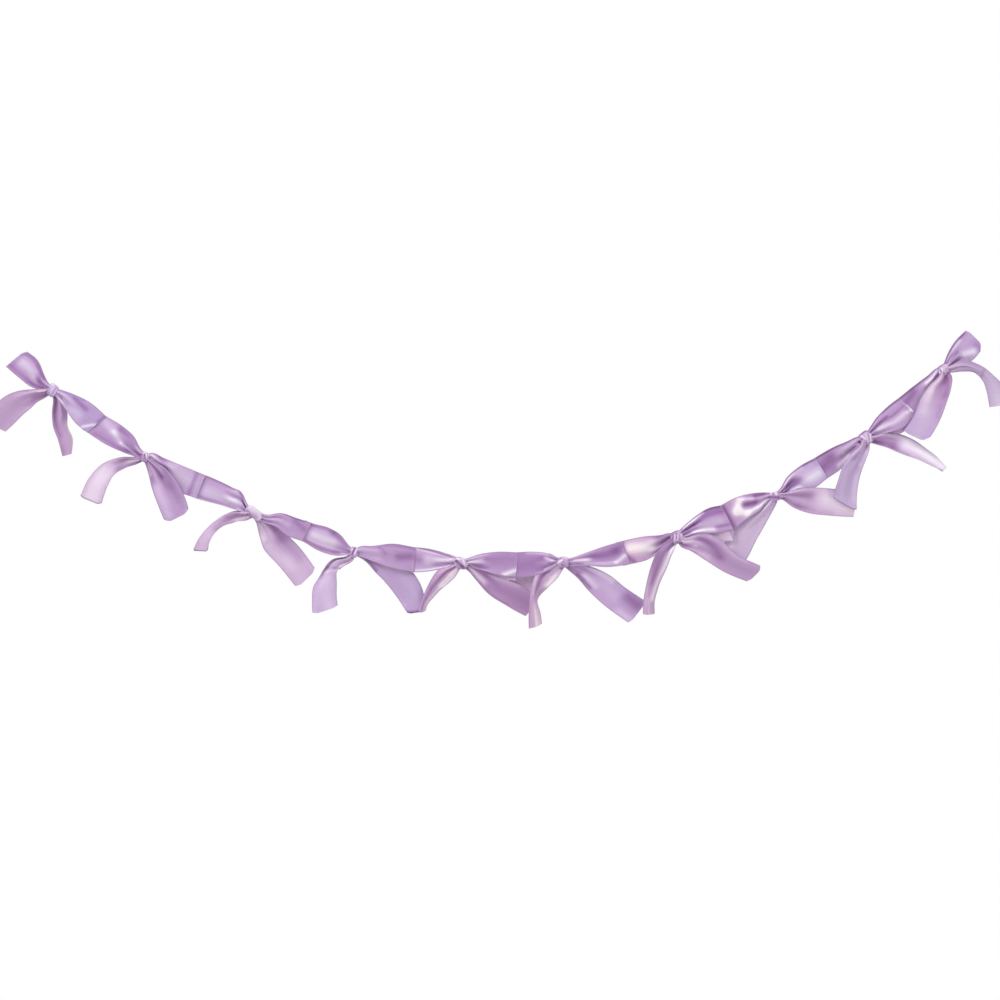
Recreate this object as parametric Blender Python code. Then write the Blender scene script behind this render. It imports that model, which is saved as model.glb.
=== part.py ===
"""Ribbon garland: ten tied satin bows, sewn loop to loop, hanging in one soft curve.

Every bow is one cut length of ribbon: a tight knot, two flattened two-layer loops and two loose tails. The
folded end of a bow's right loop is lapped over the folded end of the next bow's left loop. The garland hangs in
the XZ plane, faces -Y, and has its origin at the folded end of the first loop, where its left end is pinned up.
"""
from collections import namedtuple
from math import cos, pi, radians, sin, sqrt

import bmesh
import bpy
import numpy as np

MM = 0.001

RIBBON_WIDTH = 28.0      # the cut ribbon, in mm as all sizes and tables below
CLOTH = 1.0              # thickness of a layer
LAP = 6.0                # how far a left loop reaches behind its neighbour's right loop
LAP_STEP = 1.85          # how far a sewn loop end stands in front of, or behind, the middle plane
LAP_FLAT = 9.0           # length of the flat end of a loop, where it is sewn
LOOP_HALF_GAP = 1.1      # from the middle plane of a loop to the middle of a layer, at knot and fold
LOOP_PUFF = 0.8          # how much further apart the layers stand at the loop's belly
PLEAT_FADE = 0.8         # share of a loop's length over which the knot's pleats die out
PLEAT_LIMIT = 2.2        # deepest pleat of a loop
CURL_LIMIT = 4.0         # deepest curl of a tail
KNOT_DEPTH = 9.0         # front to back
LOOP_STATIONS = 5        # sections of each layer of a loop
TAIL_STATIONS = 7        # sections of a tail
ACROSS = (-1, -1 / 3, 1 / 3, 1)    # places across the ribbon, from edge to edge
FOLD_ANGLES = (60, 120)            # places round the fold between a loop's two layers, in degrees
KNOT_SIDES = 8
KNOT_PROFILE = ((-0.5, 0.6), (-0.3, 1.0), (0.05, 0.9), (0.3, 1.0), (0.5, 0.6))   # place along, share of height
ROOT_PLACE = 0.3         # where a limb starts inside its knot, as a share of its first section's offset
ROOT_WIDTH = 0.75        # and how wide it is there, as a share of that section's width
LEVEL_WITHIN = 1.0       # degrees between faces that count as one flat

SATIN_COLOUR = (0.42, 0.26, 0.50, 1.0)

Knot = namedtuple("Knot", "x z tilt length height")
Fold = namedtuple("Fold", "right up wide lean sag behind", defaults=(0.0, 0.0))
Section = namedtuple("Section", "right up wide lean turn front")

# Middle of each knot from the origin, the slope of its band, and the size of its band
KNOTS = [Knot(*row) for row in (
    (36.0, -31.5, -38, 11, 13),
    (129.0, -98.5, -32, 9, 10),
    (238.0, -154.5, -38, 19, 10),
    (338.0, -193.5, -12, 8, 11),
    (445.0, -204.5, -22, 14, 11),
    (547.0, -203.5, 0, 12, 11),
    (661.0, -178.5, 24, 13, 13),
    (760.0, -137.5, 12, 13, 9),
    (850.0, -79.5, 38, 13, 14),
    (928.0, -11.5, 30, 13, 12),
)]

# A loop's sections, from its knot out to its fold: how far right of the knot and up from it the middle lies,
# how wide the ribbon shows there, and the lean of the line across it, from the lower edge to the upper one. Some
# loops also say how far their back layer sags below the front one there, and how far it stands behind.
LEFT_LOOPS = [[Fold(*row) for row in table] for table in (
    ((-5.5, 3, 8.5, 54), (-14, 9, 17, 44), (-22.5, 20, 25, 47), (-36, 31.5, 25.5, 40)),
    ((-6, 4, 9, 65), (-16, 12.3, 18.5, 56), (-31, 22, 24.5, 49), (-48.5, 33, 25, 40)),
    ((-7.5, 4.5, 9, 78), (-12.3, 10.5, 18, 86), (-24.5, 16, 20, 74), (-53.5, 26.5, 25, 68)),
    ((-4, 1.2, 8, 80), (-15.5, 6.7, 21, 77), (-30, 12.8, 25, 70), (-47.3, 20.2, 20.5, 63)),
    ((-5.5, 2, 8.5, 83), (-16, 2.5, 15, 84), (-30.5, 3, 22, 87), (-46.5, 3.5, 25, 88)),
    ((-6.5, 0.5, 9, 85), (-15.5, 0, 17.5, 88), (-29.5, -1.5, 24, 89, 16, 5), (-46.5, -2.5, 25, 85, 9, 4)),
    ((-6, 0, 8, 92), (-16.5, -6, 16, 94), (-30, -10.5, 23, 99), (-51, -15.5, 24.5, 108)),
    ((-7, -0.5, 8, 92), (-18, -5.5, 18, 103), (-31.5, -10.5, 23, 112), (-48.5, -21, 27, 116)),
    ((-7, -3, 9.5, 102), (-16, -9.5, 14, 114), (-28, -19, 22, 116), (-45, -30, 24, 122)),
    ((-4.5, -2, 9, 112), (-11.5, -12.5, 17, 122), (-23, -25.5, 24, 127), (-36.5, -35.5, 23, 136)),
)]
RIGHT_LOOPS = [[Fold(*row) for row in table] for table in (
    ((7.5, -3.5, 9, 54), (18.5, -11.5, 17, 50), (31, -22.5, 25, 50), (44.5, -34, 25, 40)),
    ((5, 0, 9, 75), (14, -8, 17, 62), (30, -19, 25, 67), (55.5, -29.5, 25, 68)),
    ((11, -5.2, 8, 70), (24.5, -6.5, 14, 67), (38, -13.7, 20, 63), (52.7, -18.8, 20.5, 63)),
    ((5, 0.8, 9.5, 88), (18, -1.2, 15, 88), (38, -3.5, 24, 88), (60.5, -7.5, 25, 88)),
    ((6.5, 1, 8, 86), (18.5, 1.5, 15, 87, 1), (36.5, 0, 23, 88, 3), (55.5, -1.5, 25, 85, 4)),
    ((8.5, 0.5, 8, 85), (23.5, 3, 13, 94), (43, 5.5, 21, 100), (63, 9.5, 24.5, 108)),
    ((5.5, 4, 9, 110), (17, 10.5, 15, 112, 2), (32.5, 16, 25, 106, 8), (50.5, 20, 27, 116, 10)),
    ((6.5, 4, 8, 130), (16, 12.5, 16, 128), (31.5, 19.5, 26, 120), (45, 28, 24, 122)),
    ((5, 5, 8.5, 122), (15, 12.5, 18, 124, 1), (29.5, 21.5, 26, 125, 5), (41.5, 32.5, 23, 136, 3)),
    ((3, 3.5, 8.5, 140), (9.5, 9.5, 17, 140), (18.5, 18, 25, 134), (31, 31.8, 24.5, 135)),
)]

# A tail's sections, from its knot out to its cut end. Turn is how far the ribbon is twisted round its own
# length there, and front is how far its middle stands towards the viewer.
LEFT_TAILS = [[Section(*row) for row in table] for table in (
    ((-6, -2.5, 9, 95, 0, 1), (-16.5, -5.5, 13.5, 110, 0, 2), (-25.5, -9, 20, 120, 5, 3),
     (-34, -13.5, 24, 123, 10, 4), (-58, -36, 26, 155, 15, 6)),
    ((-8, -2.8, 7, 110, 0, -2), (-23, -5.2, 12.5, 122, -30, -3), (-36, -11.5, 16.5, 136, -38, 0),
     (-45.5, -23.5, 21, 153, -30, 3), (-54, -44, 23.5, 158, -20, 5)),
    ((-8, -2, 10, 110, 0, 0), (-20, -3.5, 11, 113, -40, -1), (-34, -9.5, 8.5, 138, -60, 0),
     (-44, -18.5, 10, 150, -60, 1), (-50, -27.5, 12.5, 166, -50, 2), (-53.5, -38, 16, 178, -45, 2)),
    ((-3, -5, 7, 140, 0, 0), (-17.5, -11.5, 12.5, 150, -50, -2), (-25.5, -21, 18, 195, -35, -1),
     (-29, -34, 24, 186, -15, 1), (-29.5, -48, 25, 188, 0, 2), (-28.5, -58.5, 26.5, 198, 10, 3)),
    ((-5, -4, 9, 148, 0, 0), (-13.5, -9.5, 16, 150, 30, 0), (-24, -20.5, 14, 149, 45, 4),
     (-31.8, -31.5, 10, 148, 50, 9), (-37, -40.5, 7, 155, 55, 10), (-39.5, -49, 7.5, 165, 50, 11)),
    ((-7, -7, 12, 150, 0, -0.5), (-15.5, -13, 20, 160, 0, -1.5), (-24, -25, 16, 170, 40, 0),
     (-29.5, -38, 8, 178, 62, 6), (-28.5, -50, 11.5, 180, 55, 7), (-27.5, -64.5, 13.5, 192, 50, 7)),
    ((-5, -6, 9, 155, 0, 2), (-12.5, -15, 15, 174, 30, 7), (-18.8, -30.5, 16, 174, 40, 6),
     (-25.2, -50, 13.5, 182, 45, 5), (-28.3, -65, 12, 180, 50, 5), (-28.3, -77.5, 12.5, 180, 50, 4)),
    ((-3.5, -6, 8.5, 170, 0, -1), (-11, -16, 13, 165, 0, -4), (-22, -28, 21, 160, 0, -6),
     (-32, -40, 26.5, 156, 0, -6), (-40.5, -55, 28, 148, 0, -5), (-46.5, -62.5, 28, 148, 0, -5)),
    ((-1.5, -8, 9.5, 175, 0, 3), (-6.5, -15.5, 16, 176, 20, 7), (-13, -26.5, 20, 170, 20, 8),
     (-18.5, -43, 21.5, 174, 20, 9), (-21, -55, 23.5, 163, 15, 9), (-22, -67, 27, 150, 0, 9)),
    ((1, -5, 12, 178, 0, 3), (-4, -15.5, 21.5, 177, 0, 6), (-11, -30.5, 26, 168, 0, 6),
     (-18, -48.5, 26, 165, 0, 5), (-29.5, -67, 26.5, 156, 0, 3)),
)]
RIGHT_TAILS = [[Section(*row) for row in table] for table in (
    ((5, -7, 8.5, 0, 0, 0), (7, -21, 13.5, 2, -40, -3), (8, -36, 12, 0, -55, -2),
     (13.2, -49, 12, 9, -55, 0), (15.2, -65, 9, 20, -60, 1)),
    ((4, -4.5, 8, 20, 0, 3), (12, -13.5, 17, 22, 0, 6), (19.5, -27, 25, 20, 0, 7.5),
     (27, -43.5, 28, 16, 0, 8), (33.3, -60.5, 27, 26, 10, 8)),
    ((6.5, -7.5, 9.5, 20, 0, -1), (14, -17, 20, 25, 0, -4), (21.5, -29, 28, 35, 0, -5),
     (35, -43.5, 28, 40, 0, -4), (52.5, -66, 27, 43, 10, -2)),
    ((5.5, -0.5, 9, 50, 0, -1), (18.5, -3, 19, 47, 0, -4), (31.5, -11.5, 27, 40, 0, -5),
     (47.3, -28, 28, 36, 0, -5), (57.5, -43.7, 26, 36, 0, -3), (63, -60.5, 17, 8, -30, -1)),
    ((8, -3.5, 7.5, 56, 0, -1), (20.5, -12, 15, 53, 0, -4), (35.8, -23.7, 22, 50, 18, -5),
     (54.3, -33.2, 25.5, 55, 15, -5), (69.3, -42.5, 24, 78, 15, -4)),
    ((6.5, -3.5, 8, 50, 0, -1), (22, -10.5, 18, 40, 0, -4), (35, -20, 25.5, 39, 0, -5),
     (51.7, -34.2, 27.5, 41, 0, -4), (75.3, -50.7, 27.5, 53, 0, -3)),
    ((5, -4.5, 9, 60, 0, 2), (18.5, -5.5, 19, 62, 0, 5), (34.6, -12, 25.5, 59, 10, 7),
     (51.5, -25, 21.5, 59, 20, 8), (78.3, -37.3, 20.5, 50, 30, 9)),
    ((7.5, 0, 7.5, 65, 0, 3), (18.5, -2, 18, 74, 0, 6), (33.5, -4, 25.5, 79, 0, 5),
     (55, -6, 27, 82, 0, 2), (79, -8.5, 25, 87, 0, 0)),
    ((6, -1, 7.5, 72, 0, 1), (20.5, -1.5, 16.5, 79, -35, 1), (40, -7.7, 19, 64, -45, 1),
     (57.5, -16.5, 14.5, 54, -55, 1), (77.5, -29.8, 8, 48, -66, 1)),
    ((6, 1, 7, 105, 0, 3), (17, 4, 11.5, 92, 40, 6), (32, 1.2, 8.5, 74, 60, 6),
     (43.8, -8.8, 10, 30, 58, 6), (51.5, -19.8, 17.5, 6, 40, 5), (58, -35.5, 25, 7, 20, 4)),
)]


def clear_scene():
    for thing in list(bpy.data.objects):
        bpy.data.objects.remove(thing, do_unlink=True)


def satin_material(name):
    material = bpy.data.materials.new(name)
    material.use_nodes = True
    shader = material.node_tree.nodes["Principled BSDF"]
    shader.inputs["Base Color"].default_value = SATIN_COLOUR
    shader.inputs["Roughness"].default_value = 0.38
    shader.inputs["Metallic"].default_value = 0.0
    return material


def smooth_table(rows, count):
    """The table's columns at evenly spaced places along its middle line, on a smooth curve through its rows."""
    table = np.array(rows, dtype=float)
    steps = np.hypot(*np.diff(table[:, :2], axis=0).T)
    place = np.concatenate(([0.0], np.cumsum(steps)))
    slopes = np.gradient(table, place, axis=0)
    result = []
    for s in np.linspace(0.0, place[-1], count):
        i = min(int(np.searchsorted(place, s, side="right")) - 1, len(place) - 2)
        span = place[i + 1] - place[i]
        t = (s - place[i]) / span
        near = (1 + 2 * t) * (1 - t) ** 2 * table[i] + t * (1 - t) ** 2 * span * slopes[i]
        far = t * t * (3 - 2 * t) * table[i + 1] + t * t * (t - 1) * span * slopes[i + 1]
        result.append(near + far)
    return np.array(result)


def inside_knot(rows):
    """The limb with one more section in front, inside the knot that holds it."""
    first = rows[0]
    root = first._replace(right=first.right * ROOT_PLACE, up=first.up * ROOT_PLACE,
                          wide=first.wide * ROOT_WIDTH)
    return [root] + list(rows)


def section_points(middle, wide, lean, turn, wave):
    """Points across the ribbon's middle surface, with a soft S of the given depth."""
    facing = np.array((0.0, -1.0, 0.0))
    level = np.array((cos(radians(lean)), 0.0, sin(radians(lean))))
    across = level * cos(radians(turn)) + facing * sin(radians(turn))
    out = facing * cos(radians(turn)) - level * sin(radians(turn))
    half = min(wide / cos(radians(turn)), RIBBON_WIDTH) / 2
    return [middle + across * (u * half) + out * (wave * sin(pi * u)) for u in ACROSS]


def pleat_depth(wide, turn, limit):
    """Depth of the S that takes up the cloth where the ribbon lies narrower than it was cut."""
    laid = min(wide / cos(radians(turn)), RIBBON_WIDTH)
    return min(limit, sqrt(RIBBON_WIDTH ** 2 - laid ** 2) / 6)


def tail_grid(knot, rows):
    grid = []
    for right, up, wide, lean, turn, front in smooth_table(inside_knot(rows), TAIL_STATIONS):
        middle = np.array((knot.x + right, -front, knot.z + up))
        grid.append(section_points(middle, wide, lean, turn, pleat_depth(wide, turn, CURL_LIMIT)))
    return np.array(grid)


def loop_step(reach, length, step):
    """How far the loop's middle plane has moved forward or back, at a distance from its knot."""
    t = min(reach / (length - LAP_FLAT), 1.0)
    return step * t * t * (3 - 2 * t)


def loop_grid(knot, rows, step, reach_behind):
    """Front layer out to the fold, the fold, and the back layer home again, as one strip of sections."""
    rows = inside_knot(rows)
    if reach_behind:
        last, before = rows[-1], rows[-2]
        way = np.array((last.right - before.right, last.up - before.up), dtype=float)
        way *= reach_behind / np.linalg.norm(way)
        rows.append(last._replace(right=last.right + way[0], up=last.up + way[1]))
    sections = smooth_table(rows, LOOP_STATIONS)
    length = np.hypot(sections[-1][0] - sections[0][0], sections[-1][1] - sections[0][1])
    front, back = [], []
    for i, (right, up, wide, lean, sag, behind) in enumerate(sections):
        share = i / (LOOP_STATIONS - 1)
        wave = pleat_depth(wide, 0.0, PLEAT_LIMIT) * max(0.0, 1 - (share / PLEAT_FADE) ** 2)
        half_gap = LOOP_HALF_GAP + LOOP_PUFF * sin(pi * min(1.0, share / PLEAT_FADE))
        plane = loop_step(share * length, length, step)
        for layer, side, drop, push in ((front, 1, 0.0, 0.0), (back, -1, sag, behind)):
            middle = np.array((knot.x + right, -plane - side * half_gap + push, knot.z + up - drop))
            layer.append(section_points(middle, wide, lean, 0.0, wave))
    outward = sections[-1][:2] - sections[-2][:2]
    outward /= np.linalg.norm(outward)
    fold = []
    for angle in FOLD_ANGLES:
        reach = LOOP_HALF_GAP * sin(radians(angle)) * np.array((outward[0], 0.0, outward[1]))
        share = (1 - cos(radians(angle))) / 2
        fold.append(np.array(front[-1]) * (1 - share) + np.array(back[-1]) * share + reach)
    return np.array(front + fold + back[::-1])


def directions(grid, axis):
    """The grid's direction at each point: midway between those of the steps that meet there."""
    steps = np.moveaxis(np.diff(grid, axis=axis), axis, 0)
    steps /= np.linalg.norm(steps, axis=2, keepdims=True)
    mean = np.concatenate((steps[:1], steps[:-1] + steps[1:], steps[-1:]))
    return np.moveaxis(mean, 0, axis)


def thicken(grid, name):
    """A closed solid, CLOTH thick, round a grid of points on the ribbon's middle surface."""
    along = directions(grid, 0)
    across = directions(grid, 1)
    normal = np.cross(along, across)
    normal /= np.linalg.norm(normal, axis=2, keepdims=True)
    rows, columns = grid.shape[:2]
    bm = bmesh.new()
    skins = []
    for side in (1, -1):
        skin = grid + normal * (side * CLOTH / 2)
        skins.append([[bm.verts.new(skin[i, j] * MM) for j in range(columns)] for i in range(rows)])
    top, bottom = skins
    for i in range(rows - 1):
        for j in range(columns - 1):
            for skin in skins:
                bm.faces.new((skin[i][j], skin[i + 1][j], skin[i + 1][j + 1], skin[i][j + 1]))
    rim = [(0, j) for j in range(columns)] + [(i, columns - 1) for i in range(1, rows)]
    rim += [(rows - 1, j) for j in range(columns - 2, -1, -1)] + [(i, 0) for i in range(rows - 2, 0, -1)]
    for (i, j), (k, m) in zip(rim, rim[1:] + rim[:1]):
        bm.faces.new((top[i][j], top[k][m], bottom[k][m], bottom[i][j]))
    return finish_mesh(bm, name)


def finish_mesh(bm, name):
    bmesh.ops.triangulate(bm, faces=bm.faces[:])
    bmesh.ops.recalc_face_normals(bm, faces=bm.faces[:])
    mesh = bpy.data.meshes.new(name)
    bm.to_mesh(mesh)
    bm.free()
    thing = bpy.data.objects.new(name, mesh)
    bpy.context.scene.collection.objects.link(thing)
    return thing


def wrapped_knot(knot, name):
    """The tight band round the bow's middle: a short barrel with one drawn-in turn."""
    along = np.array((cos(radians(knot.tilt)), 0.0, sin(radians(knot.tilt))))
    rise = np.array((-along[2], 0.0, along[0]))
    depth = np.array((0.0, -1.0, 0.0))
    middle = np.array((knot.x, 0.0, knot.z))
    bm = bmesh.new()
    rings = []
    for place, size in KNOT_PROFILE:
        ring = []
        for i in range(KNOT_SIDES):
            angle = 2 * pi * i / KNOT_SIDES
            point = middle + along * (place * knot.length) + rise * (size * knot.height / 2 * sin(angle))
            ring.append(bm.verts.new((point + depth * (size * KNOT_DEPTH / 2 * cos(angle))) * MM))
        rings.append(ring)
    for near, far in zip(rings, rings[1:]):
        for i in range(KNOT_SIDES):
            j = (i + 1) % KNOT_SIDES
            bm.faces.new((near[i], near[j], far[j], far[i]))
    bm.faces.new(rings[0])
    bm.faces.new(rings[-1])
    return finish_mesh(bm, name)


def join_to(bow, limb):
    join = bow.modifiers.new(limb.name, "BOOLEAN")
    join.operation = "UNION"
    join.solver = "EXACT"
    join.object = limb


def connected_skins(bm):
    """The mesh's vertices, as one set for each skin that is joined up."""
    left = set(bm.verts)
    skins = []
    while left:
        skin, edge = set(), {left.pop()}
        while edge:
            vert = edge.pop()
            skin.add(vert)
            edge |= {e.other_vert(vert) for e in vert.link_edges} - skin
        left -= skin
        skins.append(skin)
    return skins


def keep_outer_skin(mesh):
    """Keeps the largest skin, so that pockets closed in among the pleats at a knot are solid cloth."""
    bm = bmesh.new()
    bm.from_mesh(mesh)
    largest = max(connected_skins(bm), key=len)
    bmesh.ops.delete(bm, geom=[v for v in bm.verts if v not in largest], context="VERTS")
    bmesh.ops.dissolve_limit(bm, angle_limit=radians(LEVEL_WITHIN), verts=bm.verts[:], edges=bm.edges[:])
    bmesh.ops.triangulate(bm, faces=bm.faces[:])
    bm.to_mesh(mesh)
    bm.free()


def make_one_piece(bow, limbs):
    """Joins the limbs to the knot for good, and removes the loose limbs."""
    for limb in limbs:
        join_to(bow, limb)
    depsgraph = bpy.context.evaluated_depsgraph_get()
    mesh = bpy.data.meshes.new_from_object(bow.evaluated_get(depsgraph))
    bow.modifiers.clear()
    keep_outer_skin(mesh)
    mesh.name = bow.name
    bow.data = mesh
    for limb in limbs:
        bpy.data.objects.remove(limb, do_unlink=True)


def tied_bow(number):
    knot = KNOTS[number - 1]
    first, last = number == 1, number == len(KNOTS)
    name = f"bow_{number}"
    bow = wrapped_knot(knot, name)
    bow.data.materials.append(satin_material(f"lilac_satin_{number}"))
    left_step, left_lap = (0.0, 0.0) if first else (-LAP_STEP, LAP)
    limbs = [
        thicken(loop_grid(knot, LEFT_LOOPS[number - 1], left_step, left_lap), "left_loop"),
        thicken(loop_grid(knot, RIGHT_LOOPS[number - 1], 0.0 if last else LAP_STEP, 0.0), "right_loop"),
        thicken(tail_grid(knot, LEFT_TAILS[number - 1]), "left_tail"),
        thicken(tail_grid(knot, RIGHT_TAILS[number - 1]), "right_tail"),
    ]
    make_one_piece(bow, limbs)


def build_garland():
    clear_scene()
    for number in range(1, len(KNOTS) + 1):
        tied_bow(number)


build_garland()
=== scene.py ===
# %% [markdown]
# # A garland of tied satin bows
#
# The garland is ten bows of lilac satin ribbon, sewn loop to loop, hanging in one soft curve from its two
# ends. Every bow is one cut length of ribbon: a knot, two flattened loops and two loose tails. The packed
# model gives the frame: where each bow is and how large. This script gives each bow its thin cloth, its
# creases and its sheen.

# %% Load the frame
from collections import namedtuple
from math import pi, radians

import bpy
import numpy as np
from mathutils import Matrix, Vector


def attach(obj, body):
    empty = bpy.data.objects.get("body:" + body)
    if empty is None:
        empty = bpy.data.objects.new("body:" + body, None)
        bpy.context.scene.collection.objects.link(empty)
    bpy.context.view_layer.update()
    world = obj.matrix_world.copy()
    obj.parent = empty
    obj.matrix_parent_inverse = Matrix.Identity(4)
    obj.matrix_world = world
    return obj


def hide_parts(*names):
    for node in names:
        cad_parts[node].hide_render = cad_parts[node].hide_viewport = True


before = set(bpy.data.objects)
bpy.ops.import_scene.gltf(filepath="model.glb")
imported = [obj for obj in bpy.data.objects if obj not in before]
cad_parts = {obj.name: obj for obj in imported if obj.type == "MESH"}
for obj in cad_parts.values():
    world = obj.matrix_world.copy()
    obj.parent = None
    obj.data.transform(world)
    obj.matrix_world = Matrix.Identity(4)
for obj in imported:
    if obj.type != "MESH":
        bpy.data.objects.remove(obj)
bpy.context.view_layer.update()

MM = 0.001
print("bows in the frame:", len(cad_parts))

# %% [markdown]
# ## Writing shader maths as arithmetic
#
# A material is a small drawing of nodes and wires. It reads better as sums, so `Wire` wraps one output of a
# node and turns +, - and * into Math nodes. `Board.node` makes any other node from its type, its settings
# and what goes into its sockets. Colours are mixed with `Board.mix`, because a Math node would turn them
# grey.

# %% A wire
class Wire:
    """One output of a shader node, which takes part in arithmetic."""

    def __init__(self, board, socket):
        self.board = board
        self.socket = socket

    def maths(self, operation, first, second=0.0):
        return self.board.node("ShaderNodeMath", {"operation": operation}, {0: first, 1: second})

    def __add__(self, other):
        return self.maths("ADD", self, other)

    def __sub__(self, other):
        return self.maths("SUBTRACT", self, other)

    def __mul__(self, other):
        return self.maths("MULTIPLY", self, other)

    __radd__ = __add__
    __rmul__ = __mul__

    def __rsub__(self, other):
        return self.maths("SUBTRACT", other, self)

    def size(self):
        """The same number without its sign."""
        return self.maths("ABSOLUTE", self)

    def between(self, low, high):
        """0 below low, 1 above high, and a soft step in between."""
        return self.board.node("ShaderNodeMapRange", {"interpolation_type": "SMOOTHSTEP"},
                               {"Value": self, "From Min": low, "From Max": high})


print("a wire knows:", [name for name in vars(Wire) if not name.startswith("_")])


# %% The board that wires are on
class Board:
    """The node tree of one material."""

    def __init__(self, name):
        self.material = bpy.data.materials.new(name)
        self.material.use_nodes = True
        self.tree = self.material.node_tree
        self.shader = self.tree.nodes["Principled BSDF"]

    def node(self, kind, settings, inputs, output=0):
        made = self.tree.nodes.new(kind)
        for name, value in settings.items():
            setattr(made, name, value)
        self.plug(made, inputs)
        return Wire(self, made.outputs[output])

    def plug(self, made, inputs):
        for name, value in inputs.items():
            if isinstance(value, Wire):
                self.tree.links.new(value.socket, made.inputs[name])
            else:
                made.inputs[name].default_value = value

    def ramp(self, fac, stops):
        """Colours by place from 0 to 1."""
        made = self.tree.nodes.new("ShaderNodeValToRGB")
        elements = made.color_ramp.elements
        while len(elements) < len(stops):
            elements.new(0.5)
        for element, (place, colour) in zip(elements, stops):
            element.position = place
            element.color = (*colour, 1.0)
        self.plug(made, {"Fac": fac})
        return Wire(self, made.outputs["Color"])

    def mix(self, fac, first, second):
        """From the first colour, at 0, to the second, at 1."""
        made = self.tree.nodes.new("ShaderNodeMix")
        made.data_type = "RGBA"
        colours = [c if isinstance(c, Wire) else (*c, 1.0) for c in (first, second)]
        self.plug(made, {0: fac, 6: colours[0], 7: colours[1]})
        return Wire(self, made.outputs[2])

    def times(self, source, scale):
        """Coordinates, or a colour, multiplied axis by axis."""
        return self.node("ShaderNodeVectorMath", {"operation": "MULTIPLY"}, {0: source, 1: scale})

    def noise(self, place, detail=2.0):
        return self.node("ShaderNodeTexNoise", {"noise_dimensions": "2D"},
                         {"Vector": place, "Scale": 1.0, "Detail": detail})

    def bump(self, height, strength):
        inputs = {"Height": height, "Strength": strength, "Distance": 0.05 * MM}
        return self.node("ShaderNodeBump", {}, inputs, "Normal")

    def attribute(self, name):
        return self.node("ShaderNodeAttribute", {"attribute_name": name}, {}, "Fac")

    def cloth_place(self):
        """Place on the flat ribbon, in mm: X across from its middle, Y along."""
        uv = self.node("ShaderNodeUVMap", {"uv_map": "cloth"}, {})
        return self.times(uv, (1 / MM, 1 / MM, 0.0))

    def finish(self, **inputs):
        self.plug(self.shader, {name.replace("_", " "): value for name, value in inputs.items()})
        return self.material


print("a board knows:", [name for name in vars(Board) if not name.startswith("_")])

# %% [markdown]
# ## Satin
#
# Single-face satin has long floating threads on its bright face, so light slides along it in broad soft
# streaks, while the back is dull and a little paler. Four numbers painted on the cloth steer the finish.
# The first is painted light and shade: it goes from the painted shade of a tight crease, deep purple at 0,
# to the painted highlight of a stretched fold, pale at 1, and a soft noise paints broad streaks of light
# into it. `dull` is 1 where the back of the ribbon shows. Another is a painted tint of the light, from a
# pinkish lilac, at -1, to a bluish one, at 1. `cut` is 1 on a sealed cut end, which is dark. The weave is
# far finer than a crease, so it is bump: fine lengthwise floats, crossed by the weft. The woven edges are
# greyer, and a little light passes through such thin cloth.

# %% The ribbon's colours
# Colours of the face and of the back, from painted shade at 0 to painted highlight at 1
SATIN_FACE = ((0.0, (0.130, 0.050, 0.160)), (0.12, (0.215, 0.098, 0.265)), (0.3, (0.300, 0.160, 0.365)),
              (0.5, (0.430, 0.280, 0.500)), (0.75, (0.580, 0.465, 0.650)), (1.0, (0.830, 0.765, 0.870)))
SATIN_BACK = ((0.0, (0.135, 0.070, 0.150)), (0.12, (0.240, 0.130, 0.260)), (0.3, (0.340, 0.220, 0.360)),
              (0.5, (0.460, 0.335, 0.480)), (0.75, (0.620, 0.510, 0.620)), (1.0, (0.840, 0.765, 0.820)))
PINKISH = (1.09, 0.98, 0.92)                    # painted tint of the light: what the colour is multiplied by where that tint is -1
BLUISH = (0.92, 1.02, 1.06)                     # and where it is 1
SEALED_CUT = (0.16, 0.10, 0.18)
WOVEN_EDGE = (0.27, 0.215, 0.285)
LIGHT_THROUGH = (1.3 * MM, 1.0 * MM, 1.6 * MM)  # how far red, green and blue light spread in the cloth
print("colour stops of the face and the back:", len(SATIN_FACE), len(SATIN_BACK))

# %% The ribbon's material
RIBBON_WIDTH = 28.0
EDGE_BAND = (1.3, 0.5)         # how far inside the ribbon's edge its rim starts to show, and shows in full
FLOATS = (5.5, 0.45, 0.0)      # grain of the long threads, in waves for each mm across and along
WEFT = (0.8, 7.0, 0.0)         # of the threads that cross them
STREAKS = (0.9, 0.035, 0.0)    # and of the broad streaks of light painted into its colour, which also vary its roughness


def satin_ribbon():
    board = Board("lilac_satin")
    place = board.cloth_place()
    across = board.node("ShaderNodeSeparateXYZ", {}, {0: place}, "X")
    tone, dull, cut, cool = (board.attribute(name) for name in ("tone", "dull", "cut", "cool"))
    floats, weft = board.noise(board.times(place, FLOATS)), board.noise(board.times(place, WEFT))
    streaks = board.noise(board.times(place, STREAKS), 3.0)
    # Painted light and shade, with broad painted streaks of light
    shade = tone + (streaks - 0.5) * 0.10
    colour = board.mix(dull, board.ramp(shade, SATIN_FACE), board.ramp(shade, SATIN_BACK))
    # A painted tint of the light, from pinkish to bluish
    colour = board.times(colour, board.mix(cool * 0.5 + 0.5, PINKISH, BLUISH))
    edge = across.size().between(*(RIBBON_WIDTH / 2 - inset for inset in EDGE_BAND))
    colour = board.mix(edge * 0.6, colour, WOVEN_EDGE)
    colour = board.mix(cut, colour, SEALED_CUT)
    weave = floats * (1.0 - dull * 0.5) + weft * (0.35 + dull * 0.5)
    roughness = 0.40 + dull * 0.18 + edge * 0.10 + (streaks - 0.5) * 0.08
    return board.finish(Base_Color=colour, Roughness=roughness, Normal=board.bump(weave, 0.35),
                        Specular_IOR_Level=0.5, Sheen_Weight=0.15, Sheen_Roughness=0.4,
                        Subsurface_Weight=0.25, Subsurface_Radius=LIGHT_THROUGH, Subsurface_Scale=1.0)


satin = satin_ribbon()
print("satin nodes:", len(satin.node_tree.nodes))

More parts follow.
